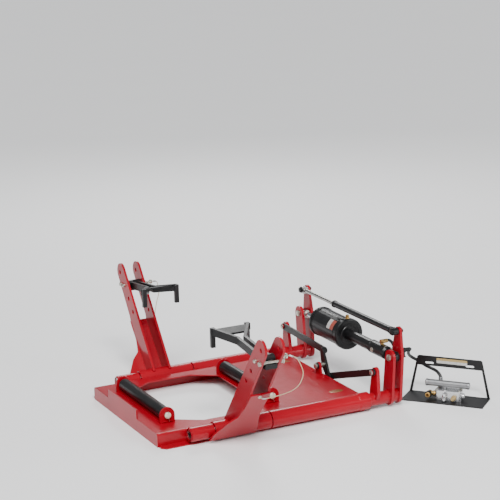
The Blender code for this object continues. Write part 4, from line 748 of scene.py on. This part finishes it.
add_piece("thrust_tube_nut", lathed(clamp, (0, 1, 0), (axis.x, collar_y, axis.z), 36), cylinder_black,
          "cylinder")
lips = []
for y in (barrel_low.y + 0.0040, barrel_high.y - 0.0080):
    lip = [(0, BARREL_RADIUS - 0.0002), (0.0004, BARREL_RADIUS + 0.0009), (0.0020, BARREL_RADIUS + 0.0014),
           (0.0036, BARREL_RADIUS + 0.0009), (0.0040, BARREL_RADIUS - 0.0002), (0, BARREL_RADIUS - 0.0002)]
    lips.append(lathed(lip, (0, 1, 0), (axis.x, y, axis.z), 72))
add_piece("barrel_beads", joined(*lips), cylinder_black, "cylinder")
breather = joined(
    lathed([(0, 0), (0, 0.0072), (0.0060, 0.0072), (0.0060, 0.0054), (0.0075, 0.0054), (0.0090, 0.0066),
            (0.0125, 0.0058), (0.0140, 0.0036), (0.0145, 0)], (0, 0, 1),
           (axis.x, cap_low.y + 0.012, cap_high.z - 0.0006), 20))
add_piece("cap_breather", breather, brass, "cylinder")
wiper = [(0, 0.0113), (0, 0.0160), (0.0012, 0.0168), (0.0030, 0.0150), (0.0046, 0.0120), (0.0048, 0.0113),
         (0, 0.0113)]
add_piece("rod_wiper", lathed(wiper, (0, 1, 0), (axis.x, rear_high.y + 0.0002, axis.z), 32), rubber,
          "cylinder")
for number in range(4):
    angle = radians(45 + 90 * number)
    spot = Vector((axis.x + 0.0400 * cos(angle), rear_high.y, axis.z + 0.0400 * sin(angle)))
    screw = [(0, 0), (0, 0.0052), (0.0034, 0.0052), (0.0040, 0.0046), (0.0040, 0.0026), (0.0018, 0.0026),
             (0.0018, 0)]
    add_piece("cap_screw_" + str(number + 1), lathed(screw, (0, 1, 0), spot, 18), zinc, "cylinder")
label_finish = Finish("blank_label", coat=0.3)
LABEL_SPLIT = 0.3230
label_x = label_finish.place.part("Y").rise(LABEL_SPLIT, LABEL_SPLIT + 0.0003)
label_soil = label_finish.place.noise(120.0, 5.0).rise(0.46, 0.70)
label_tone = label_finish.wire.tint(label_x, (0.300, 0.050, 0.030), (0.480, 0.470, 0.450))
label_colour = label_finish.wire.tint(label_soil * 0.35, label_tone, (0.160, 0.140, 0.120))
blank_label = label_finish.set(label_colour, 0.38, label_soil, 0.04, 0.0001)
wrap = bmesh.new()
LABEL = ((0.302, 0.0002), (0.302, 0.0005), (0.344, 0.0005), (0.344, 0.0002))
corners = [wrap.verts.new((BARREL_RADIUS + rise, y, 0)) for y, rise in LABEL]
rim = [wrap.edges.new((corners[number - 1], corners[number])) for number in range(4)]
bmesh.ops.spin(wrap, geom=corners + rim, cent=(0, 0, 0), axis=(0, 1, 0), angle=radians(40), steps=16)
bmesh.ops.holes_fill(wrap, edges=wrap.edges[:], sides=4)
wrap.transform(Matrix.Translation((axis.x, 0, axis.z)) @ Matrix.Rotation(radians(-164), 4, "Y"))
add_piece("barrel_label", wrap, blank_label, "cylinder")
jam_y = 2 * mid_y - axis.y - 0.0260
jam = hexagon(0.0270, -0.0040, 0.0040, (0, 0, 0))
jam.transform(Matrix.Translation((axis.x, jam_y, axis.z)) @ Matrix.Rotation(pi / 2, 4, "Z"))
add_piece("rod_jam_nut", jam, zinc, "piston_rod")


# ---------------------------------------------------------------- return strut
# A tube with an inner rod between the lever tops; a spring inside draws the arms together.  A guide
# ring is rolled into the tube's mouth.

strut_black = black_paint("strut_black", 0.28)
dress(strut_black, "return_tube")
dress(ground_steel("strut_rod_steel", "Y"), "return_rod")
strut_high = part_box("return_tube")[1]
strut = joint["strut_pivot"]
mouth = [(-0.0070, 0.0111), (-0.0070, 0.0122), (-0.0062, 0.0127), (0.0004, 0.0127), (0.0016, 0.0118),
         (0.0018, 0.0090), (0.0018, 0.0072), (0.0002, 0.0072), (0.0002, 0.0111), (-0.0070, 0.0111)]
add_piece("strut_guide", lathed(mouth, (0, 1, 0), (strut.x, strut_high.y, strut.z), 32), rubber,
          "return_tube")
ferrule = [(0, 0.0111), (0, 0.0119), (0.0008, 0.0123), (0.0052, 0.0123), (0.0060, 0.0119),
           (0.0060, 0.0111), (0, 0.0111)]
add_piece("strut_ferrule", lathed(ferrule, (0, 1, 0), (strut.x, strut.y + 0.020, strut.z), 32), strut_black,
          "return_tube")


# ---------------------------------------------------------------- equalizer
# Two flat links and a rocker keep both arms opening alike; satin black bar with plated stud heads.

link_black = black_paint("link_black", 0.30)
dress(link_black, "rocker", "front_link", "rear_link")
for end, flip in ENDS:
    stud = seat(flip, *joint["front_link_pivot"])
    cap = [(-0.0080, 0), (-0.0078, 0.0046), (-0.0062, 0.0076), (-0.0048, 0.0094), (-0.0040, 0.0094),
           (-0.0040, 0)]
    add_piece(end + "_post_stud_cap", lathed(cap, (1, 0, 0), stud, 26), zinc, end + "_arm")


# ---------------------------------------------------------------- foot valve
# A windowed guard folded from black sheet, with a cast valve on its floor plate.  The treadle is a
# turned cross bar; a sintered muffler, an inlet elbow and an upright barb are screwed into the body.

guard_black = black_paint("guard_black", 0.36)
dress(guard_black, "pedal_guard")
bright_finish = Finish("machined_alloy", metallic=0.9)
bright_marks = bright_finish.place.noise(900.0, 3.0)
bright_cloud = bright_finish.place.noise(45.0, 4.0)
bright_colour = bright_finish.wire.tint(bright_cloud, (0.700, 0.700, 0.710), (0.520, 0.520, 0.530))
bright_alloy = bright_finish.set(bright_colour, 0.20 + bright_marks * 0.12, bright_marks, 0.10, 0.0002,
                                 edge=0.0008)
dress(bright_alloy, "valve_body")
dress(cast_alloy, "treadle")
coupler_finish = black_paint("coupler_black", 0.40)
dress(coupler_finish, "hose_union")
dress(brass, "inlet_elbow", "block_fitting")
dress(cast_alloy, "outlet_barb")
dress(ground_steel("spring_steel", "Z"), "valve_spring")
muffler_finish = Finish("sintered_brass", metallic=0.7)
beads = muffler_finish.place.cells(1500.0)
sintered = muffler_finish.set(muffler_finish.wire.tint(beads, (0.640, 0.500, 0.260), (0.420, 0.290, 0.120)),
                              0.46 + beads * 0.1, beads, 0.7, 0.0006)
dress(sintered, "muffler")
PEDAL_TURN = radians(-49.6)
pedal_at = Vector((joint["treadle_press"].x, joint["treadle_press"].y, 0))
pedal_frame = Matrix.Translation(pedal_at) @ Matrix.Rotation(PEDAL_TURN, 4, "Z")
VALVE_MIDDLE = 0.0125
VALVE_TOP = 0.0373


def at_pedal(shape):
    """Move a piece made in the foot valve's own directions into place."""
    shape.transform(pedal_frame)
    return shape


screws = []
for x in (-0.026, 0.051):
    for y in (-0.0125, 0.0125):
        head = [(0, 0), (0, 0.0042), (0.0026, 0.0042), (0.0032, 0.0036), (0.0032, 0.0021),
                (0.0014, 0.0021), (0.0014, 0)]
        screws.append(lathed(head, (0, 0, 1), (x, y, VALVE_TOP), 18))
add_piece("valve_screws", at_pedal(joined(*screws)), zinc, "base")
boss = [(0.0052, 0), (0.0052, 0.0064), (0.0062, 0.0074), (0.0240, 0.0074), (0.0252, 0.0064),
        (0.0252, 0.0052), (0.0300, 0.0052), (0.0310, 0.0042), (0.0310, 0)]
neck = [(-0.0220, 0), (-0.0220, 0.0060), (-0.0190, 0.0084), (-0.0190, 0)]
add_piece("valve_boss", at_pedal(joined(lathed(boss, (0, 0, 1), (0.0035, -0.0285, 0), 28),
                                        lathed(neck, (0, 1, 0), (0.0035, -0.0012, 0.0165), 28))),
          bright_alloy, "base")
port = [(0, 0), (0, 0.0088), (0.0010, 0.0096), (0.0070, 0.0096), (0.0080, 0.0088), (0.0080, 0.0052),
        (0.0040, 0.0048), (0.0040, 0)]
add_piece("valve_side_port", at_pedal(lathed(port, (1, 0, 0), (VALVE_MIDDLE + 0.0449, 0, 0.0190), 26)),
          bright_alloy, "base")
bar_low = VALVE_MIDDLE - 0.004 - 0.076
bands = []
for start, stop in ((0.002, 0.008), (0.144, 0.150)):
    band = [(bar_low + start, 0.0110), (bar_low + start, 0.0116), (bar_low + start + 0.001, 0.0119),
            (bar_low + stop - 0.001, 0.0119), (bar_low + stop, 0.0116), (bar_low + stop, 0.0110),
            (bar_low + start, 0.0110)]
    bands.append(lathed(band, (1, 0, 0), (0, -0.004, joint["treadle_press"].z), 30))
add_piece("treadle_end_bands", at_pedal(joined(*bands)), cast_alloy, "treadle")
ring = [(0, 0.0076), (0, 0.0090), (0.0008, 0.0096), (0.0040, 0.0096), (0.0048, 0.0090), (0.0048, 0.0076),
        (0, 0.0076)]
add_piece("inlet_collar", at_pedal(lathed(ring, (-1, 0, 0), (-0.0360, 0, 0.0193), 24)), brass, "base")
shell = [(0, 0.0090), (0, 0.0104), (0.0010, 0.0112), (0.0120, 0.0112), (0.0135, 0.0104), (0.0135, 0.0090),
         (0, 0.0090)]
add_piece("inlet_coupler", at_pedal(lathed(shell, (0, -1, 0), (-0.0545, -0.0080, 0.0193), 28)),
          coupler_finish, "base")
strip_finish = Finish("blank_strip", coat=0.3)
strip_z = strip_finish.place.part("Z")
STRIP_SPLIT = 0.1195
cream = strip_z.rise(STRIP_SPLIT, STRIP_SPLIT + 0.0002)
strip_soil = strip_finish.place.noise(160.0, 5.0).rise(0.48, 0.72)
strip_tone = strip_finish.wire.tint(cream, (0.520, 0.510, 0.480), (0.420, 0.290, 0.100))
strip_tone = strip_finish.wire.tint(strip_soil * 0.4, strip_tone, (0.210, 0.180, 0.130))
strip = strip_finish.set(strip_tone, 0.36, strip_soil, 0.03, 0.0001)
tag = bmesh.new()
bmesh.ops.create_cube(tag, size=1.0)
bmesh.ops.bevel(tag, geom=[edge for edge in tag.edges if abs(edge.verts[0].co.y - edge.verts[1].co.y) > 0.5],
                offset=0.06, segments=3, profile=0.5, affect="EDGES", material=-1)
tag.transform(Matrix.Translation((0.0080, 0.04775, 0.1190)) @ Matrix.Diagonal((0.106, 0.0003, 0.0175, 1)))
add_piece("guard_blank_strip", at_pedal(tag), strip, "base")


# ---------------------------------------------------------------- air hose and whip
# Smooth black hose, 11 mm across: from the union on the front lever, round behind the guard, in
# through its window and down onto the valve's barb.  A short whip joins the union to the cylinder.

HOSE_DIAMETER = 0.0110
WHIP_DIAMETER = 0.0104      # 11 mm in the CAD; 10.4 mm keeps the whip six diameters long
HOSE_POINTS = 40
WHIP_POINTS = 24
GAP = 0.0003
right = pan_high.x
union_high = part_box("hose_union")[1]
UNION_Y = 0.0180
UNION_Z = 0.1720
barb_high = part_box("outlet_barb")[1]
BARB = (-0.0200, 0.0150)
outside = [Vector((union_high.x + 2 * GAP, UNION_Y, UNION_Z)),
           Vector((union_high.x + 0.0120, UNION_Y, UNION_Z)),
           Vector((right + 0.1980, 0.0420, 0.1580)), Vector((right + 0.2160, 0.0720, 0.1360)),
           Vector((right + 0.2400, 0.0900, 0.1160)), Vector((right + 0.2610, 0.0800, 0.1020)),
           Vector((right + 0.2730, 0.0530, 0.0905))]
inside = ((-0.0380, 0.0350, 0.0270), (-0.0220, 0.0200, 0.0265), (-0.0080, 0.0070, 0.0210),
          (0.0, 0.0, 0.0110), (0.0, 0.0, 2 * GAP))
drop = [pedal_frame @ Vector((BARB[0] + x, BARB[1] + y, barb_high.z + z)) for x, y, z in inside]
hose_route = smooth_route(outside + drop, HOSE_POINTS)
hose = lay_cord("shop_hose", hose_route, HOSE_DIAMETER, rubber, "hose_rubber", hose_route[0],
                stiffness="medium", lay="loose")
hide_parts("air_hose")
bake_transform(hose)
fitting_low, fitting_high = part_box("block_fitting")
FITTING_Z = axis.z + 0.0320
fitting_y = (fitting_low.y + fitting_high.y) / 2
whip_bends = [(fitting_high.x + 4 * GAP, fitting_y, FITTING_Z),
              (fitting_high.x + 0.0080, fitting_y, FITTING_Z),
              (fitting_high.x + 0.0160, fitting_y - 0.0060, FITTING_Z - 0.0080),
              (union_high.x - 0.0260 - 0.0140, UNION_Y + 0.0080, UNION_Z + 0.0060),
              (union_high.x - 0.0260 - 0.0070, UNION_Y, UNION_Z),
              (union_high.x - 0.0260 - 3 * GAP, UNION_Y, UNION_Z)]
whip_route = smooth_route(whip_bends, WHIP_POINTS)
whip = lay_cord("cylinder_whip", whip_route, WHIP_DIAMETER, rubber, "hose_rubber", whip_route[0],
                stiffness="medium", lay="taut")
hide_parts("air_whip")
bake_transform(whip)


def crimp(name, here, there, body, finish):
    """A ribbed crimp over a hose end, from its fitting towards the hose."""
    way = there - here
    long = 0.0120
    shell = [(0, 0.0056), (0, 0.0068)]
    for rib in range(4):
        shell += [(0.0010 + rib * 0.0028, 0.0072), (0.0022 + rib * 0.0028, 0.0072),
                  (0.0030 + rib * 0.0028, 0.0066)]
    shell += [(long, 0.0064), (long, 0.0056), (0, 0.0056)]
    add_piece(name, lathed(shell, way, here, 28), finish, body)


crimp("hose_crimp_union", hose_route[0], hose_route[2], "front_arm", coupler_finish)
crimp("hose_crimp_valve", hose_route[-1], hose_route[-3], "base", cast_alloy)
crimp("whip_crimp_union", whip_route[-1], whip_route[-4], "front_arm", coupler_finish)


# ---------------------------------------------------------------- room
# A pale floor under a wide soft sun from the front left, three disc lamps for the highlights and a
# dim even sky.  The camera looks a little down from the front left, through a long lens.

floor_finish = Finish("pale_floor")
floor_cloud = floor_finish.place.noise(1.5, 3.0)
floor_colour = floor_finish.wire.tint(floor_cloud, (0.900, 0.900, 0.900), (0.880, 0.880, 0.885))
pale = floor_finish.set(floor_colour, 0.62, floor_cloud, 0.02, 0.0002)
FLOOR_HALF = 30.0
ground = bmesh.new()
bmesh.ops.create_grid(ground, x_segments=1, y_segments=1, size=FLOOR_HALF)
floor_mesh = bpy.data.meshes.new("floor")
ground.to_mesh(floor_mesh)
ground.free()
floor_mesh.materials.append(pale)
floor = bpy.data.objects.new("floor", floor_mesh)
bpy.context.scene.collection.objects.link(floor)
SKY = (0.90, 0.92, 0.95, 1.0)
SKY_STRENGTH = 0.32
world = bpy.data.worlds.new("studio")
world.use_nodes = True
world.node_tree.nodes["Background"].inputs["Color"].default_value = SKY
world.node_tree.nodes["Background"].inputs["Strength"].default_value = SKY_STRENGTH
bpy.context.scene.world = world
LIGHTS = (("key", (-0.6, -2.6, 3.4), 0.9, 110.0), ("fill", (3.0, -2.8, 1.6), 1.6, 35.0),
          ("rim", (1.6, 3.6, 2.6), 1.6, 60.0))
target = Vector((0.15, 0.25, 0.12))
for name, place, size, power in LIGHTS:
    lamp = bpy.data.lights.new(name, "AREA")
    lamp.shape = "DISK"
    lamp.size = size
    lamp.energy = power
    light = bpy.data.objects.new(name, lamp)
    light.location = place
    light.rotation_mode = "QUATERNION"
    light.rotation_quaternion = (target - Vector(place)).to_track_quat("-Z", "Y")
    bpy.context.scene.collection.objects.link(light)
SUN_POWER = 3.2
SUN_WIDTH = radians(50)
SUN_WAY = Vector((0.45, 0.55, -1.0))
daylight = bpy.data.lights.new("sun", "SUN")
daylight.energy = SUN_POWER
daylight.angle = SUN_WIDTH
sun = bpy.data.objects.new("sun", daylight)
sun.rotation_mode = "QUATERNION"
sun.rotation_quaternion = SUN_WAY.to_track_quat("-Z", "Y")
bpy.context.scene.collection.objects.link(sun)
CAMERA_AT = (-2.173, -4.315, 1.760)
LENS_MM = 114.6
yaw, pitch_angle, roll = radians(-26.32), radians(13.61), radians(-1.47)
ahead = Vector((-sin(yaw) * cos(pitch_angle), cos(yaw) * cos(pitch_angle), -sin(pitch_angle)))
level = Vector((cos(yaw), sin(yaw), 0))
upward = level.cross(ahead)
across = level * cos(roll) + upward * sin(roll)
above = upward * cos(roll) - level * sin(roll)
lens = bpy.data.cameras.new("camera")
lens.lens = LENS_MM
lens.sensor_width = 36.0
lens.clip_end = 100.0
camera = bpy.data.objects.new("camera", lens)
turn = Matrix((across, above, -ahead)).transposed().to_4x4()
camera.matrix_world = Matrix.Translation(CAMERA_AT) @ turn
bpy.context.scene.collection.objects.link(camera)
bpy.context.scene.camera = camera
